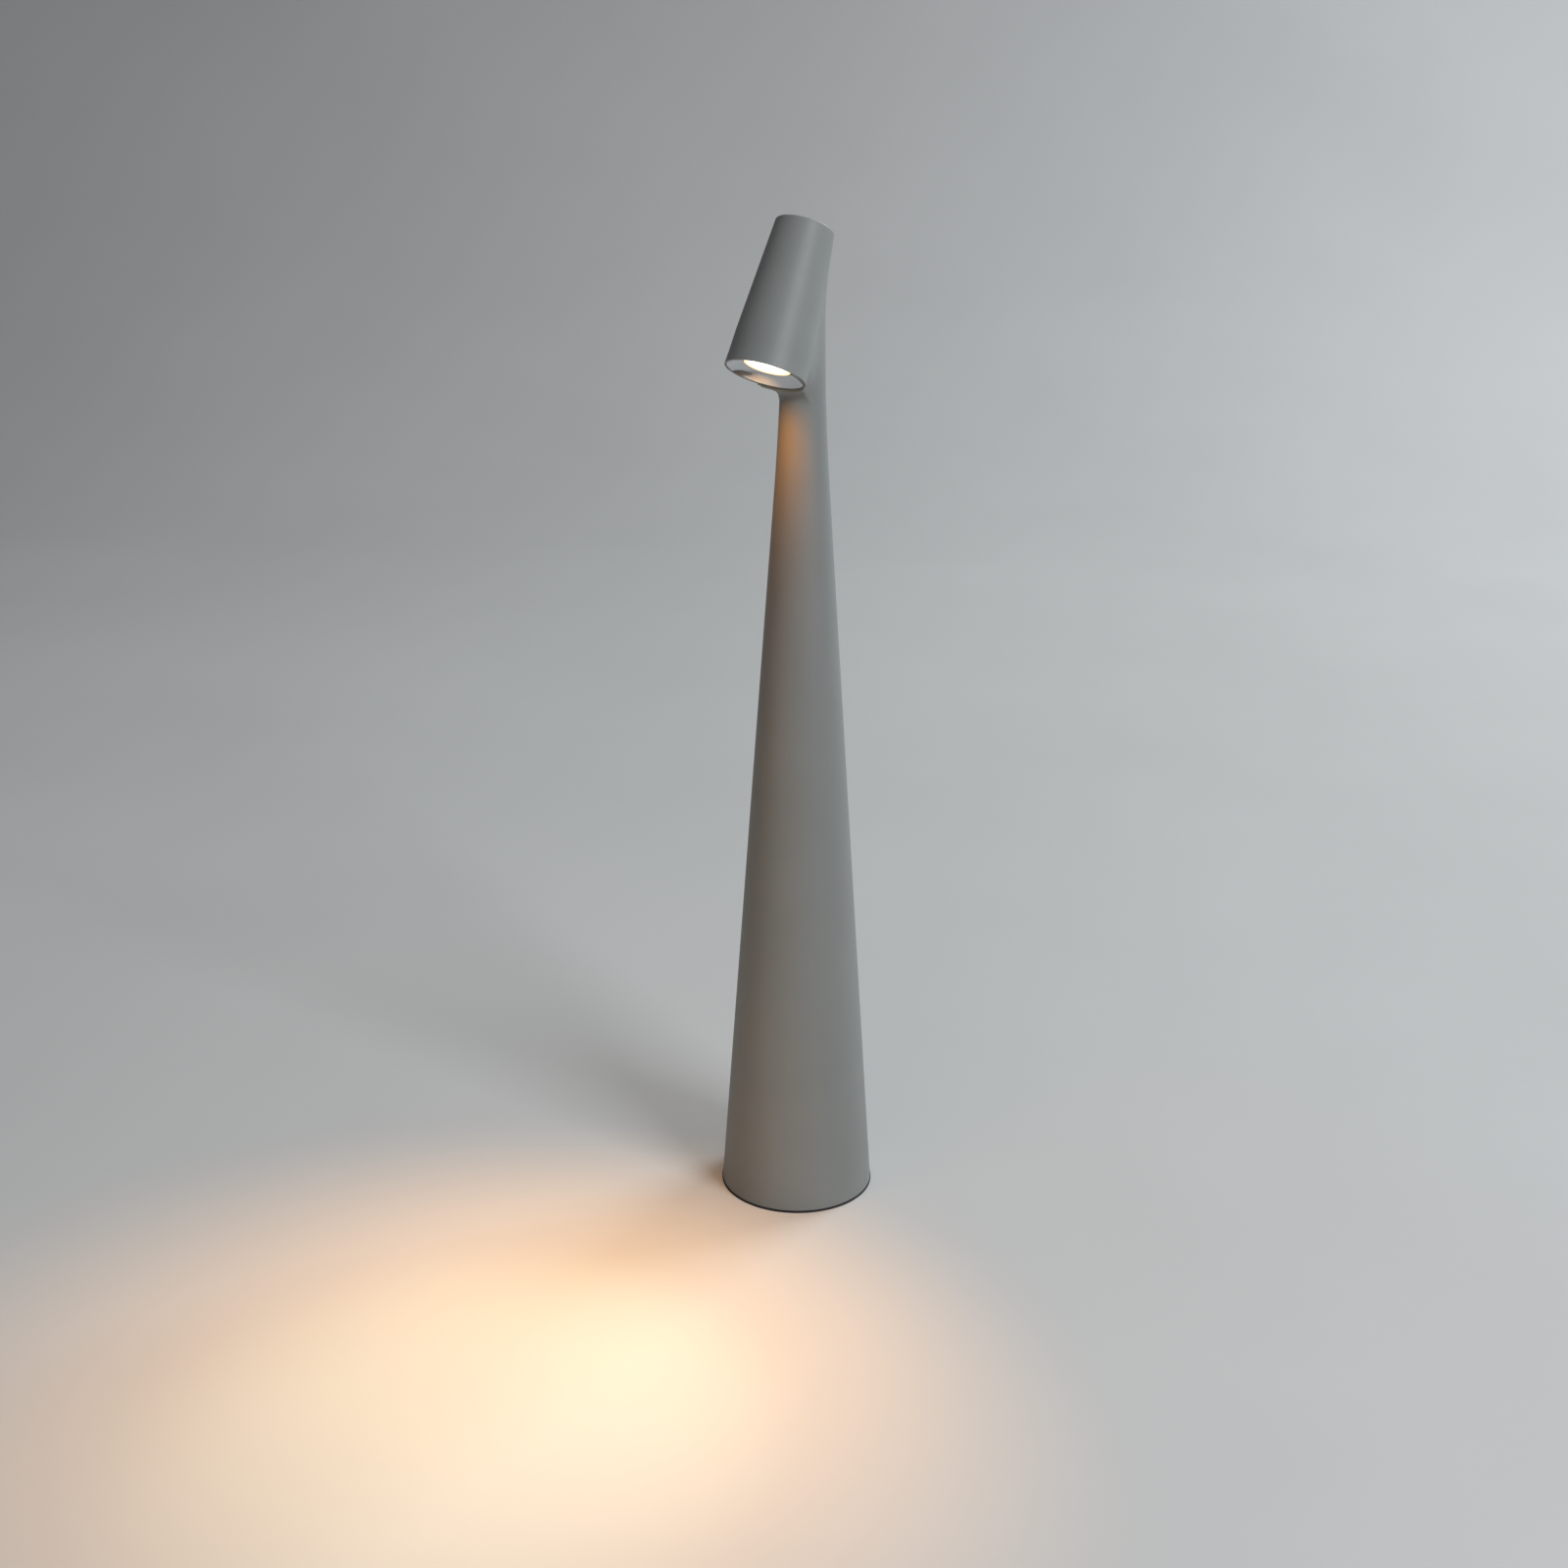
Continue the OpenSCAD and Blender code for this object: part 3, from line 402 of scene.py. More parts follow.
# the casing: a cone body and a cone head under one skin, in mm
casing = {
    "baseRadius": 45.7, "coneTopRadius": 15.55, "coneTop": 430.02, "easing": 110.0,
    "footHeight": 1.2, "wall": 2.4, "cavityTop": 534.8,
    "plateRadius": 43.55, "plateTop": 4.3, "seatMeet": 0.01,   # the seat's cut meets the cavity's
    "rimRadius": 22.4, "topRadius": 15.9, "headLength": 83.4, "headWall": 2.2,
    "bezelRadius": 21.6, "bezelDepth": 1.6, "boreRadius": 19.8, "boreDepth": 15.0,
    "seatRadius": 14.4, "seatDepth": 3.0,
    "crownRound": 1.0, "footRound": 0.4,
    # reach of the fillet between the two cones, by height: wide where the head's back comes down
    # on the neck, narrow under the rim and at the crown
    "filletHeights": (484, 494, 506, 522, 541, 557, 572, 580),
    "filletReach": (6.0, 8.0, 10.0, 10.0, 8.0, 6.0, 3.0, 2.0),
    # how far the web between neck and head lies inside their common tangents, by height over
    # the rim: it dies away towards the rim
    "webDepths": (0, 3, 6, 9, 12, 15, 18, 22, 60),
    "webInset": (6.5, 4.95, 3.75, 2.9, 2.35, 2.0, 1.75, 1.6, 1.6), "webReach": 4.0,
    "webSections": (0.5, 14, 45),       # heights over the rim where the first web is drawn
    "roughLow": 455, "roughHigh": 570, "roughHead": 95.0,   # the rough forms, run long
    "spare": 0.4,                       # extra length at the rim, faced off afterwards
    "faceRoom": 0.2, "faceReach": 9,    # how far the facing cut goes past the rim, out and down
    "crispLift": 0.7,                   # how far the fillet may lift the rim before it blurs
    "edgeCatch": 0.6,                   # in voxels: what lies this near the rim is set on it
    "voxel": 0.9, "seam": 468.0,        # mesh size of the branch, and where the plain body starts
    "ringStep": 5, "ringCount": 40,     # the body's rings above and below the top of its cone
    "ringBlend": 8,                     # over this many rings the spokes even out
    "skinMatch": 0.03, "clearOfBody": 9, "facingMatch": 0.9,   # what is shaded as true skin
}
casing["taper"] = (casing["baseRadius"] - casing["coneTopRadius"]) / casing["coneTop"]


def bodyRadius(height):
    over = np.clip(np.asarray(height, float) - casing["coneTop"], 0, casing["easing"])
    low = np.minimum(height, casing["coneTop"])
    return (casing["baseRadius"] - casing["taper"] * low
            - casing["taper"] * over * (1 - over / (2 * casing["easing"])))


def headRadius(depth):
    share = (casing["rimRadius"] - casing["topRadius"]) / casing["headLength"]
    return casing["rimRadius"] - share * depth


def inHead(points):
    # points seen from the rim centre, with +Z along the head
    return points @ fromHead[:3, :3].T + fromHead[:3, 3]


def outOfHead(local):
    turn = np.array(toHead)
    return local @ turn[:3, :3].T + turn[:3, 3]


def fillet(first, second, reach):
    share = np.maximum(reach - np.abs(first - second), 0) / reach
    return np.minimum(first, second) - share ** 2 * reach / 4


def faceOff(side, depth):
    # a shape with these walls, ended by the plane of the rim
    end = -casing["spare"] - depth
    return (np.hypot(np.maximum(side, 0), np.maximum(end, 0))
            + np.minimum(np.maximum(side, end), 0))


def neckSection(depth):
    # where the neck crosses a plane square to the head, and how wide it is there
    height = rimCentre.z + (depth + rimCentre.y * headAxis.y) / headAxis.z
    away = -rimCentre.y * headAxis.z - (height - rimCentre.z) * headAxis.y
    return away, bodyRadius(height)


def webDistance(local):
    # the tangent web round the head's circle and the neck's, in planes square to the head
    depth = local[:, 2]
    away, neck = neckSection(depth)
    inset = np.interp(depth, casing["webDepths"], casing["webInset"])
    large, small = headRadius(depth) - inset, neck - inset
    away = np.maximum(away, 0.5)
    lean = np.clip((large - small) / away, -1, 1)
    straight = np.sqrt(1 - lean ** 2)
    across, along = np.abs(local[:, 0]), local[:, 1]
    place = along * straight - across * lean
    side = np.where(place < 0, np.hypot(across, along) - large,
                    np.where(place > straight * away, np.hypot(across, along - away) - small,
                             across * straight + along * lean - large))
    return faceOff(side, depth)


def skinDistance(points):
    # how far points lie off the body, off the head, and off the filleted skin of both
    local = inHead(points)
    body = np.hypot(points[:, 0], points[:, 1]) - bodyRadius(points[:, 2])
    head = faceOff(np.hypot(local[:, 0], local[:, 1]) - headRadius(local[:, 2]), local[:, 2])
    reach = np.interp(points[:, 2], casing["filletHeights"], casing["filletReach"])
    skin = fillet(body, head, reach)
    return body, head, fillet(skin, webDistance(local), casing["webReach"])


def skinSlope(points):
    step = 0.01
    rises = [skinDistance(points + shift)[2] - skinDistance(points - shift)[2]
             for shift in np.eye(3) * step]
    return np.stack([rise / (2 * step) for rise in rises], axis=1)


def vertexArray(vertices):
    return np.array([v.co for v in vertices], float).reshape(-1, 3)


def placeVertices(bm, points):
    for vert, point in zip(bm.verts, points):
        vert.co = point


def vertsIn(geom):
    return [g for g in geom if isinstance(g, bmesh.types.BMVert)]


def cutAcross(bm, place, normal, **clear):
    everything = list(bm.verts) + list(bm.edges) + list(bm.faces)
    bmesh.ops.bisect_plane(bm, geom=everything, plane_co=place, plane_no=normal, **clear)


def bodyOutline(inset, low, high):
    bends = [casing["coneTop"] + casing["easing"] * i / 16 for i in range(17)]
    heights = [low] + [z for z in bends if low + 0.5 < z < high - 0.5] + [high]
    return [(0, low)] + [(float(bodyRadius(z)) - inset, z) for z in heights] + [(0, high)]


def turnedShape(name, outline, steps, inHeadFrame=False):
    bm = spinOutline(outline, steps, False)
    if inHeadFrame:
        bmesh.ops.transform(bm, matrix=toHead, verts=bm.verts)
    return meshObject(name, bm)


def joinedForms():
    # both cones, run long past the seam and the crown, and joined on a voxel grid
    below, above = casing["spare"], casing["roughHead"]
    body = turnedShape("forms", bodyOutline(0, casing["roughLow"], casing["roughHigh"]), 128)
    head = turnedShape("head", [(0, -below), (headRadius(-below), -below),
                                (headRadius(above), above), (0, above)], 128, True)
    web = bmesh.new()
    for depth in casing["webSections"]:
        away, neck = neckSection(depth)
        inset = float(np.interp(depth, casing["webDepths"], casing["webInset"]))
        for centre, radius in ((0, float(headRadius(depth))), (float(away), float(neck))):
            bmesh.ops.create_circle(web, segments=64, radius=radius - inset,
                                    matrix=toHead @ Matrix.Translation((0, centre, depth)))
    hull = bmesh.ops.convex_hull(web, input=web.verts)
    loose = set(vertsIn(hull["geom_interior"] + hull["geom_unused"]))
    bmesh.ops.delete(web, geom=list(loose), context="VERTS")
    bm = bmesh.new()
    for part in (body, head, meshObject("web", web)):
        bm.from_mesh(part.data)
        bpy.data.objects.remove(part)
    forms = meshObject("forms", bm)
    grid = forms.modifiers.new("grid", "REMESH")
    grid.mode = "VOXEL"
    grid.voxel_size = casing["voxel"]
    applyModifiers(forms)
    return forms


def roundLevels(radius, count):
    # heights below an edge, and how far the skin draws in there, for a quarter-round edge
    turns = [math.pi / 2 * i / count for i in range(count + 1)]
    return [(radius * (1 - math.sin(t)), radius * (1 - math.cos(t))) for t in turns]


def drawIn(radius, below):
    # how far a quarter-round edge has drawn in at a distance from the edge's plane
    rise = np.clip(1 - below / radius, 0, 1)
    return radius * (1 - np.sqrt(1 - rise ** 2))


def boundaryRing(bm, height):
    return [e for e in bm.edges if e.is_boundary
            and all(abs(v.co.z - height) < 0.01 for v in e.verts)]


def makeCasing():
    forms = joinedForms()
    bm = bmesh.new()
    bm.from_mesh(forms.data)
    bpy.data.objects.remove(forms)
    axis = Vector(headAxis)
    # every vertex is drawn onto the filleted skin
    points = vertexArray(bm.verts)
    for _ in range(6):
        slope = skinSlope(points)
        square = np.maximum((slope ** 2).sum(axis=1), 0.2)      # so that no step runs away
        points -= slope * (skinDistance(points)[2] / square)[:, None]
    # and those by the rim's edge onto the edge itself, where the fillet leaves it crisp
    local = inHead(points)
    radius = np.maximum(np.hypot(local[:, 0], local[:, 1]), 1e-6)
    edge = float(headRadius(-casing["spare"]))
    lift = np.zeros(len(local))
    for _ in range(8):
        onEdge = local * (1, 1, 0) * ((edge + lift) / radius)[:, None]
        onEdge[:, 2] = -casing["spare"] - lift
        lift = np.clip(lift - skinDistance(outOfHead(onEdge))[2], 0, 4)
    near = ((np.linalg.norm(onEdge - local, axis=1) < casing["edgeCatch"] * casing["voxel"])
            & (lift < casing["crispLift"]))
    local[near] = onEdge[near]
    placeVertices(bm, outOfHead(local))
    # the neck ends at the seam, and the head at its crown
    cutAcross(bm, (0, 0, casing["seam"]), (0, 0, 1), clear_inner=True)
    top = rimCentre + axis * casing["headLength"]
    cutAcross(bm, top, axis, clear_outer=True)
    for below, _ in roundLevels(casing["crownRound"], 5)[:-1]:
        cutAcross(bm, top - axis * below, axis)
    # the crown's edge is rounded
    local = inHead(vertexArray(bm.verts))
    inset = drawIn(casing["crownRound"], casing["headLength"] - local[:, 2])
    radial = local * (1, 1, 0)
    radial /= np.maximum(np.linalg.norm(radial, axis=1), 1e-6)[:, None]
    local -= radial * inset[:, None]
    placeVertices(bm, outOfHead(local))
    # the neck's ring is drawn down ring by ring, evening out as it goes
    ring = boundaryRing(bm, casing["seam"])
    verts = sorted({v for e in ring for v in e.verts}, key=lambda v: math.atan2(v.co.y, v.co.x))
    angles = np.array([math.atan2(v.co.y, v.co.x) for v in verts])
    even = -math.pi + math.tau * np.arange(len(verts)) / len(verts)
    even += (angles - even).mean()
    order = {v: i for i, v in enumerate(verts)}
    low, drop = casing["footHeight"], casing["ringStep"]
    heights = list(np.arange(casing["seam"] - drop, casing["coneTop"], -drop))
    heights += list(np.linspace(casing["coneTop"], low + casing["footRound"], casing["ringCount"]))
    edges = [(z, 0.0) for z in heights]
    edges += [(low + below, inset) for below, inset in roundLevels(casing["footRound"], 4)[1:]]
    for step, (height, inset) in enumerate(edges):
        made = bmesh.ops.extrude_edge_only(bm, edges=ring)["geom"]
        fresh = vertsIn(made)
        ring = [g for g in made if isinstance(g, bmesh.types.BMEdge) and g.is_boundary]
        blend = min((step + 1) / casing["ringBlend"], 1)
        radius = float(bodyRadius(height)) - inset
        # an extruded vertex keeps its place in the ring
        for vert in fresh:
            parent = next(e.other_vert(vert) for e in vert.link_edges
                          if e.other_vert(vert) in order)
            index = order[parent]
            angle = (1 - blend) * angles[index] + blend * even[index]
            vert.co = (radius * math.cos(angle), radius * math.sin(angle), height)
        order = {v: order[next(e.other_vert(v) for e in v.link_edges if e.other_vert(v) in order)]
                 for v in fresh}
    bmesh.ops.holes_fill(bm, edges=[e for e in bm.edges if e.is_boundary], sides=0)
    bmesh.ops.remove_doubles(bm, verts=bm.verts, dist=0.0005)
    bmesh.ops.recalc_face_normals(bm, faces=bm.faces)
    print("casing skin", len(bm.faces), "faces, open edges",
          sum(1 for e in bm.edges if not e.is_manifold))
    return meshObject("casing", bm)


def hollowCasing(piece):
    inner = casing["headLength"] - casing["seatDepth"]
    wall = casing["headWall"]
    cavity = [(0, -pastFace), (casing["bezelRadius"], -pastFace),
              (casing["bezelRadius"], casing["bezelDepth"]),
              (casing["boreRadius"], casing["bezelDepth"]),
              (casing["boreRadius"], casing["boreDepth"]),
              (headRadius(casing["boreDepth"]) - wall, casing["boreDepth"]),
              (headRadius(inner) - wall, inner), (casing["seatRadius"], inner),
              (casing["seatRadius"], casing["headLength"] + pastFace),
              (0, casing["headLength"] + pastFace)]
    seatTop = casing["plateTop"] + casing["seatMeet"]
    plateSeat = [(0, 0), (casing["plateRadius"], 0), (casing["plateRadius"], seatTop), (0, seatTop)]
    faceRadius, reach = casing["rimRadius"] + casing["faceRoom"], casing["faceReach"]
    rimFace = [(0, -reach), (faceRadius, -reach), (faceRadius, 0), (0, 0)]
    cutters = [
        turnedShape("bodyCavity", bodyOutline(casing["wall"], casing["plateTop"],
                                              casing["cavityTop"]), 96),
        turnedShape("plateSeat", plateSeat, 96),
        turnedShape("rimFace", rimFace, 160, True),
        turnedShape("headCavity", cavity, 160, True),
        roundedBar(port["width"] + port["room"], port["height"] + port["room"],
                   port["corner"] + port["room"] / 2, port["holeFront"], port["holeBack"],
                   port["middle"]),
        pinShape(port["pipeRadius"] + port["pipeRoom"],
                 (0, port["pipeHoleFront"], port["pipeHeight"]),
                 (0, port["pipeHoleBack"], port["pipeHeight"]), 40)]
    return combine(piece, cutters, "DIFFERENCE")


def smoothSkin(piece):
    # the long faces of the cut skin take their shading from the true surface
    mesh = piece.data
    count = len(mesh.loops)
    corners = np.zeros(count * 3, np.float32)
    mesh.corner_normals.foreach_get("vector", corners)
    corners = corners.reshape(-1, 3)
    where = np.zeros(count, np.int32)
    mesh.loops.foreach_get("vertex_index", where)
    verts = np.zeros(len(mesh.vertices) * 3, np.float32)
    mesh.vertices.foreach_get("co", verts)
    verts = verts.reshape(-1, 3).astype(float) / mm
    slope = skinSlope(verts)
    slope /= np.maximum(np.linalg.norm(slope, axis=1), 1e-6)[:, None]
    body, head, off = skinDistance(verts)
    depth = inHead(verts)[:, 2]
    crownStart = casing["headLength"] - casing["crownRound"]
    footEnd = casing["footHeight"] + casing["footRound"]
    plain = ((np.abs(off) < casing["skinMatch"]) & (depth < crownStart + 0.01)
             & ((head > body) | (depth > -0.01) | (body < casing["clearOfBody"]))
             & (verts[:, 2] > footEnd - 0.01))
    faceNormals = np.zeros(len(mesh.polygons) * 3, np.float32)
    mesh.polygons.foreach_get("normal", faceNormals)
    sizes = np.zeros(len(mesh.polygons), np.int32)
    mesh.polygons.foreach_get("loop_total", sizes)
    faceNormals = np.repeat(faceNormals.reshape(-1, 3), sizes, axis=0)
    along = (faceNormals * slope[where]).sum(axis=1) > casing["facingMatch"]
    chosen = np.where((plain[where] & along)[:, None], slope[where], corners)
    mesh.normals_split_custom_set([tuple(n) for n in chosen])


# the charging port in the back of the body, in mm
port = {
    "width": 23.0, "height": 19.4, "corner": 2.0, "middle": 28.9,
    "room": 0.3, "holeFront": 27.4, "holeBack": 47.7,   # the hole in the casing round its frame
    "pipeRadius": 1.2, "pipeHeight": 46.0,
    "pipeRoom": 0.05, "pipeHoleFront": 20, "pipeHoleBack": 48,   # the hole round the light pipe
    "flapWidth": 17.0, "flapTop": 36.2, "flapThickness": 1.4, "flapCorner": 1.3,
    "flapInset": 0.03, "ribMeet": 0.02,   # the leaf's face under the skin, and the rib in the leaf
    "pinY": 42.345, "pinZ": 23.6, "pinRadius": 0.63, "barrelRadius": 1.25,
    "recessWidth": 13.2, "recessHeight": 7.4, "socketHeight": 30.0, "floor": 36.197,
    "ribRoom": 0.7, "ribCorner": 1.7, "ribDepth": 0.9, "edgeRound": 0.16, "edgeAngle": 50,
    "rough": 3,                         # extra length of the bars that the flap is cut from
}

coat = satinPowderCoat()
casingPiece = hollowCasing(makeCasing())
finishPiece(casingPiece, "casing", coat, 35, "lamp", ["body_shell"])
smoothSkin(casingPiece)


# the round dimmer key in the top of the head, in mm from the rim
touchKey = {
    "face": 83.3, "plateRadius": 14.15, "plateRound": 0.5, "seat": 80.5,
    "skirtRadius": 13.53, "skirtFoot": 75.0, "hollowRadius": 11.83, "hollowTop": 81.5,
    # how far the middle of the key is hollowed for a finger, and the radii of the hollow
    "dish": 0.35, "dishFloor": 7.7825, "dishMouth": 11.55,
    # the rounding of its edges: at the hollow's floor and mouth, under the roof, and elsewhere
    "floorRound": 9, "mouthRound": 5, "roofRound": 0.8, "edgeRound": 0.15,
}


def makeTouchKey():
    size = touchKey
    floor = size["face"] - size["dish"]
    corners = [(0, floor), (size["dishFloor"], floor),
               (size["dishMouth"], size["face"]), (size["plateRadius"], size["face"]),
               (size["plateRadius"], size["seat"]), (size["skirtRadius"], size["seat"]),
               (size["skirtRadius"], size["skirtFoot"]), (size["hollowRadius"], size["skirtFoot"]),
               (size["hollowRadius"], size["hollowTop"]), (0, size["hollowTop"])]
    edge = size["edgeRound"]
    rounds = [0, size["floorRound"], size["mouthRound"], size["plateRound"], edge, 0, edge, edge,
              size["roofRound"], 0]
    outline = roundedOutline(corners, rounds, 6)
    return turnedShape("touchKey", outline, 128, True)


# the bright dish round the lens, in mm from the rim
dish = {
    "lensRadius": 12.8, "depth": 4.3, "mouthRadius": 21.2, "lip": 0.3, "lipRadius": 21.4,
    "barrelTop": 1.5, "barrelRadius": 19.65, "barrelFoot": 11.0,
    "grooveRadius": 18.95, "grooveLow": 6.4, "grooveHigh": 7.6,
    "cupRadius": 17.4, "cupFoot": 5.4, "seatRadius": 15.3, "seat": 4.5,
    "curve": 1.5, "steps": 24, "chamfer": 0.1,
}


def makeDish():
    size, edge = dish, dish["chamfer"]
    slope = [(size["lensRadius"] + (size["mouthRadius"] - size["lensRadius"]) * i / size["steps"],
              size["depth"] - (size["depth"] - size["lip"]) * (i / size["steps"]) ** size["curve"])
             for i in range(size["steps"] + 1)]
    outline = slope + [
        (size["lipRadius"] - edge, size["lip"]), (size["lipRadius"], size["lip"] + edge),
        (size["lipRadius"], size["barrelTop"]), (size["barrelRadius"], size["barrelTop"]),
        (size["barrelRadius"], size["grooveLow"]), (size["grooveRadius"], size["grooveLow"]),
        (size["grooveRadius"], size["grooveHigh"]), (size["barrelRadius"], size["grooveHigh"]),
        (size["barrelRadius"], size["barrelFoot"]), (size["cupRadius"], size["barrelFoot"]),
        (size["cupRadius"], size["cupFoot"]), (size["seatRadius"], size["cupFoot"]),
        (size["seatRadius"], size["seat"]), (size["lensRadius"] + edge, size["seat"])]
    bm = spinOutline(outline, 160, True)
    bmesh.ops.transform(bm, matrix=toHead, verts=bm.verts)
    return meshObject("dish", bm)


# the frosted lens, in mm from the rim
lensDisc = {
    "radius": 15.1, "front": 4.52, "back": 5.2, "round": 0.2, "steps": 18,
    "hollow": 0.25,                     # how far the lit face is dished in its middle
}
# its light: even up to a share of its radius, then dimmer and warmer
glow = {
    "centre": tuple((rimCentre + headAxis * lensDisc["front"]) * mm),
    "radius": dish["lensRadius"] * mm, "even": 0.6,
    "middle": "#fff4e0", "edge": "#ffc98a", "high": 3.0, "low": 1.1,
    "frostSize": 0.9, "frostDepth": 0.03,   # mm
}


def makeLens():
    # flat where it is clamped, with a slight hollow in the frosted face inside the dish
    size = lensDisc
    dome = [(dish["lensRadius"] * i / size["steps"],
             size["front"] + size["hollow"] * (1 - math.cos(math.pi / 2 * (1 - i / size["steps"]))))
            for i in range(size["steps"] + 1)]
    outline = dome + roundedOutline(
        [(size["radius"], size["front"]), (size["radius"], size["back"]), (0, size["back"])],
        [0, size["round"], 0], 4)
    return turnedShape("lensDisc", outline, 128, True)


# the rubber foot, in mm
foot = {
    "radius": 46.0, "height": 1.2, "round": 0.35,
    "grooves": (8, 13, 18, 23, 28, 33, 38),   # inner radius of each groove moulded in the underside
    "grooveWidth": 2.5, "grooveDepth": 0.3, "grooveSlope": 0.2,
}


def makeFoot():
    size = foot
    outline = [(0, 0)]
    for start in size["grooves"]:
        end = start + size["grooveWidth"]
        outline += [(start, 0), (start + size["grooveSlope"], size["grooveDepth"]),
                    (end - size["grooveSlope"], size["grooveDepth"]), (end, 0)]
    radius, height, rounds = size["radius"], size["height"], [0, size["round"], 0]
    outline += roundedOutline([(radius, 0), (radius, height), (0, height)], rounds, 5)[1:]
    bottomEdge = roundedOutline([(0, 0), (radius, 0), (radius, height / 2)], rounds, 5)[1:-1]
    grooveEnd = 1 + 4 * len(size["grooves"])
    return turnedShape("foot", outline[:grooveEnd] + bottomEdge + outline[grooveEnd:], 160)


def bodySlab(inset, low, high):
    return turnedShape("slab", bodyOutline(inset, low, high), 192)


def makeFlap():
    # a curved rubber leaf that follows the body, with its hinge barrel and a rib for the recess
    size = port
    low, high = size["pinZ"] - size["rough"], size["flapTop"] + size["rough"]
    leafHeight = size["flapTop"] - size["pinZ"]
    front, back = size["floor"], casing["baseRadius"] + size["rough"]
    leaf = roundedBar(size["flapWidth"], leafHeight, size["flapCorner"], front, back,
                      size["flapTop"] - leafHeight / 2)
    combine(leaf, [bodySlab(size["flapInset"], low, high)], "INTERSECT")
    combine(leaf, [bodySlab(size["flapThickness"], low - pastFace, high + pastFace)],
            "DIFFERENCE")
    rib = roundedBar(size["recessWidth"] - size["ribRoom"], size["recessHeight"] - size["ribRoom"],
                     size["ribCorner"], front, back, size["socketHeight"])
    combine(rib, [bodySlab(size["flapThickness"] - size["ribMeet"], low, high)], "INTERSECT")
    ribEnd = size["flapThickness"] + size["ribDepth"]
    combine(rib, [bodySlab(ribEnd, low - pastFace, high + pastFace)], "DIFFERENCE")
    half = size["flapWidth"] / 2
    barrel = pinShape(size["barrelRadius"], (-half, size["pinY"], size["pinZ"]),
                      (half, size["pinY"], size["pinZ"]), 48)
    combine(leaf, [rib, barrel], "UNION")
    hole = pinShape(size["pinRadius"], (-half - pastFace, size["pinY"], size["pinZ"]),
                    (half + pastFace, size["pinY"], size["pinZ"]), 32)
    combine(leaf, [hole], "DIFFERENCE")
    edges = leaf.modifiers.new("edges", "BEVEL")
    edges.limit_method = "ANGLE"
    edges.angle_limit = math.radians(size["edgeAngle"])
    edges.width = size["edgeRound"]
    edges.segments = 2
    edges.use_clamp_overlap = True
    applyModifiers(leaf)
    return leaf


finishPiece(makeTouchKey(), "touchKey", coat, 35, "lamp", ["touch_cap"])
finishPiece(makeDish(), "dish", chromedDish(), 35, "lamp", ["reflector"])
finishPiece(makeLens(), "lensDisc", frostedLens(glow), 40, "lamp", ["lens"])
finishPiece(makeFoot(), "foot", matRubber(), 35, "lamp", ["foot_pad"])
finishPiece(makeFlap(), "flap", flapRubber(), 35, "flap", ["port_flap"])


# the nodes that keep their own shape get a finish by the slot that each was packed with
finishes = {
    "black_rubber": matRubber, "port_plastic": mouldedBlack, "nylon": naturalNylon,
    "black_plastic": mouldedBlack, "cup_white": whiteReflectorPlastic, "steel": zincSteel,
    "aluminium": turnedAluminium, "cast_iron": blackenedIron, "board": solderMask,
    "chip": chipEpoxy, "phosphor": phosphorGel, "foam": closedCellFoam,
    "lead_black": cableJacket, "lead_pale": paleLead, "cell_wrap": cellWrap,
    "pipe_clear": clearPipe,
}
made = {}
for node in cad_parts.values():
    for place in node.material_slots:
        slot = place.material.name
        if slot in finishes and not node.hide_render:
            made[slot] = made.get(slot) or finishes[slot]()
            place.material = made[slot]
print("finishes on the inner pieces", len(made))


# the stage: a pale floor that sweeps up behind, as one sheet, in metres
sweep = {
    "halfWidth": 12.0, "front": -10.0, "bend": 1.8, "bendRadius": 1.2, "height": 4.0,
    "steps": 24, "light": "#bcbdbd", "dark": "#b8b9b9", "roughness": 0.75,
}
azimuth = 33.06                         # the camera's side, degrees


def paleCard():
    # matt painted board: even and pale, with a faint mottle
    return grainMaterial("paleCard", {
        "dark": sweep["dark"], "light": sweep["light"], "driftSize": 400, "grainSize": 30,
        "roughness": (sweep["roughness"], sweep["roughness"] + 0.05), "relief": 0.0,
        "shader": {"IOR": 1.45, "Specular IOR Level": 0.2}})


def makeSweep():
    bm = bmesh.new()
    outline = [(sweep["front"], 0)]
    for i in range(sweep["steps"] + 1):
        t = math.pi / 2 * i / sweep["steps"]
        outline.append((sweep["bend"] + sweep["bendRadius"] * math.sin(t),
                        sweep["bendRadius"] * (1 - math.cos(t))))
    outline.append((sweep["bend"] + sweep["bendRadius"], sweep["height"]))
    verts = [bm.verts.new((-sweep["halfWidth"], y, z)) for y, z in outline]
    edges = [bm.edges.new(pair) for pair in zip(verts, verts[1:])]
    made = bmesh.ops.extrude_edge_only(bm, edges=edges)["geom"]
    bmesh.ops.translate(bm, vec=(2 * sweep["halfWidth"], 0, 0), verts=vertsIn(made))
    bmesh.ops.rotate(bm, verts=bm.verts, matrix=Matrix.Rotation(math.radians(azimuth), 3, "Z"))
    bmesh.ops.recalc_face_normals(bm, faces=bm.faces)
    floor = meshObject("sweep", bm)
    floor.data.shade_smooth()
    floor.data.materials.append(paleCard())


# lamps of the studio: where, how large, how strong, in metres and watts, in the camera's own
# directions (right, away, up)
lights = {
    "key": {"place": (1.4, -1.6, 1.8), "size": 1.0, "power": 40.7, "color": "#f8faff"},
    "back": {"place": (2.2, 2.0, 2.2), "size": 1.6, "power": 74.9, "color": "#f7fdff"},
    "top": {"place": (0.3, 0.0, 2.6), "size": 1.8, "power": 15.3, "color": "#f8fff8"},
}
lightAim = (0, 0, 0.28)
worldLight = {"color": "#ffeff6", "strength": 0.118}

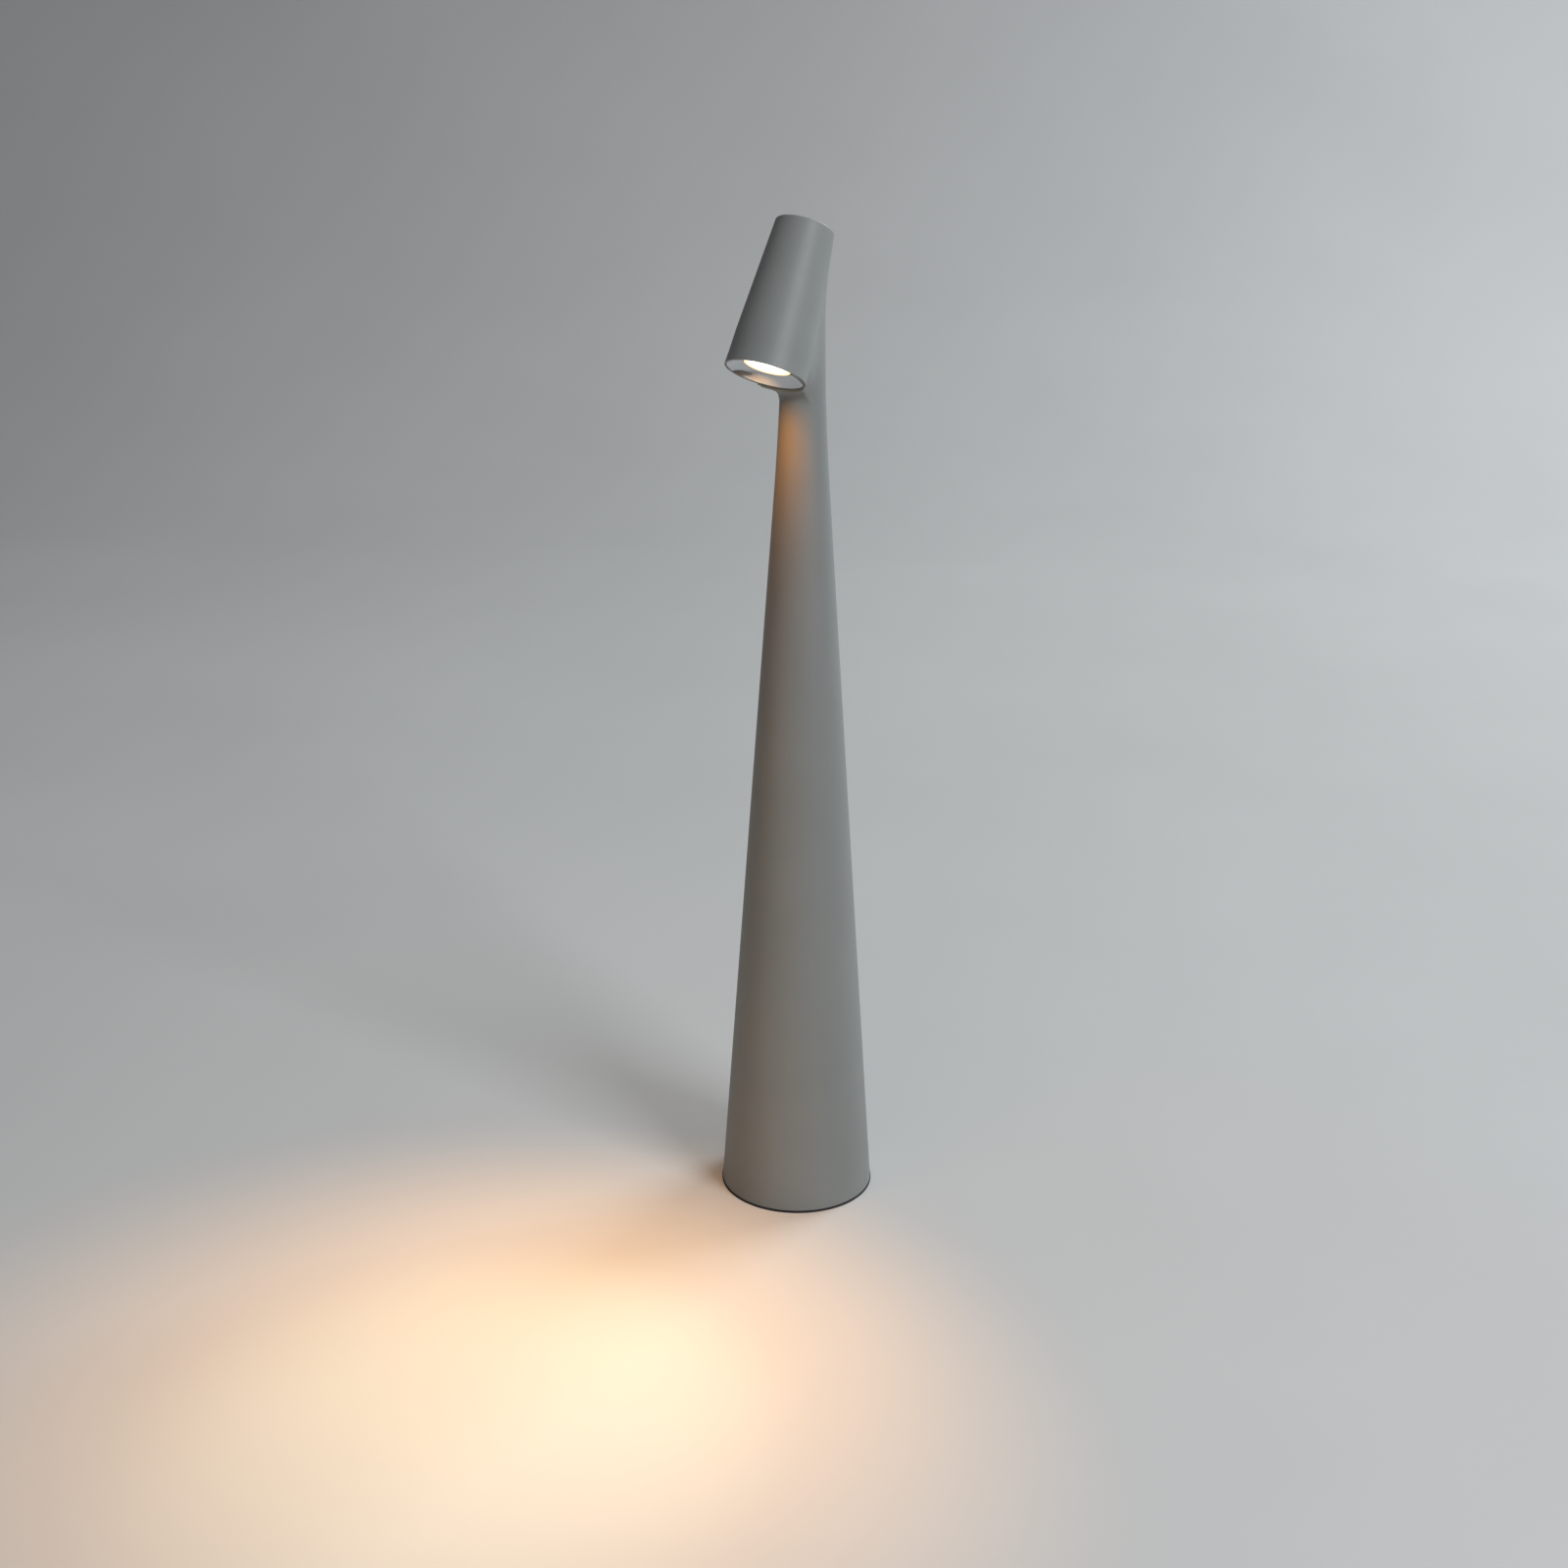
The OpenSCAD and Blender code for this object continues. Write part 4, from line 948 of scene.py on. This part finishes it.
# the lamp's own beam: three soft cones from a disc just behind the rim, in mm, degrees and watts
beam = {
    "depth": 2.0, "radius": 11.0,
    "narrow": {"angle": 36.0, "power": 4.87, "color": "#e9ffdd"},
    "middle": {"angle": 70.0, "power": 14.38, "color": "#ffbc6b"},
    "wide": {"angle": 168.0, "power": 0.78, "color": "#ff9c15"},
}


def addLight(name, kind, spec, place, direction):
    data = bpy.data.lights.new(name, kind)
    data.energy = spec["power"]
    data.color = linearColor(spec["color"])[:3]
    lamp = bpy.data.objects.new(name, data)
    lamp.matrix_world = (Matrix.Translation(place)
                         @ direction.to_track_quat("-Z", "Y").to_matrix().to_4x4())
    lamp.visible_camera = False
    bpy.context.scene.collection.objects.link(lamp)
    return lamp


def studioLights():
    turn = Matrix.Rotation(math.radians(azimuth), 4, "Z")
    for name, spec in lights.items():
        place = turn @ Vector(spec["place"])
        lamp = addLight(name, "AREA", spec, place, Vector(lightAim) - place)
        lamp.data.size = spec["size"]
    world = bpy.data.worlds.new("room")
    world.use_nodes = True
    backdrop = world.node_tree.nodes["Background"]
    backdrop.inputs["Color"].default_value = linearColor(worldLight["color"])
    backdrop.inputs["Strength"].default_value = worldLight["strength"]
    bpy.context.scene.world = world


def beamLights():
    start = (rimCentre + headAxis * beam["depth"]) * mm
    for name in ("narrow", "middle", "wide"):
        lamp = addLight(name, "SPOT", beam[name], start, -headAxis)
        lamp.data.spot_size = math.radians(beam[name]["angle"])
        lamp.data.spot_blend = 1.0
        lamp.data.shadow_soft_size = beam["radius"] * mm
        lamp.visible_glossy = False


# the camera: lens and sensor in mm, place in metres, pitch below level and roll about the line
# of sight in degrees
viewpoint = {
    "lens": 49.5, "sensor": 36.0, "nearest": 0.02, "farthest": 50.0,
    "place": (0.639046, -0.998480, 0.670592), "pitch": 19.22, "roll": 0.323,
}


def setCamera():
    data = bpy.data.cameras.new("camera")
    data.lens, data.sensor_width = viewpoint["lens"], viewpoint["sensor"]
    data.clip_start, data.clip_end = viewpoint["nearest"], viewpoint["farthest"]
    camera = bpy.data.objects.new("camera", data)
    camera.matrix_world = (Matrix.Translation(viewpoint["place"])
                           @ Matrix.Rotation(math.radians(azimuth), 4, "Z")
                           @ Matrix.Rotation(math.radians(90 - viewpoint["pitch"]), 4, "X")
                           @ Matrix.Rotation(math.radians(viewpoint["roll"]), 4, "Z"))
    bpy.context.scene.collection.objects.link(camera)
    bpy.context.scene.camera = camera


makeSweep()
studioLights()
beamLights()
setCamera()
bpy.context.scene.view_settings.view_transform = "Standard"
print("stage, lights and camera in place")
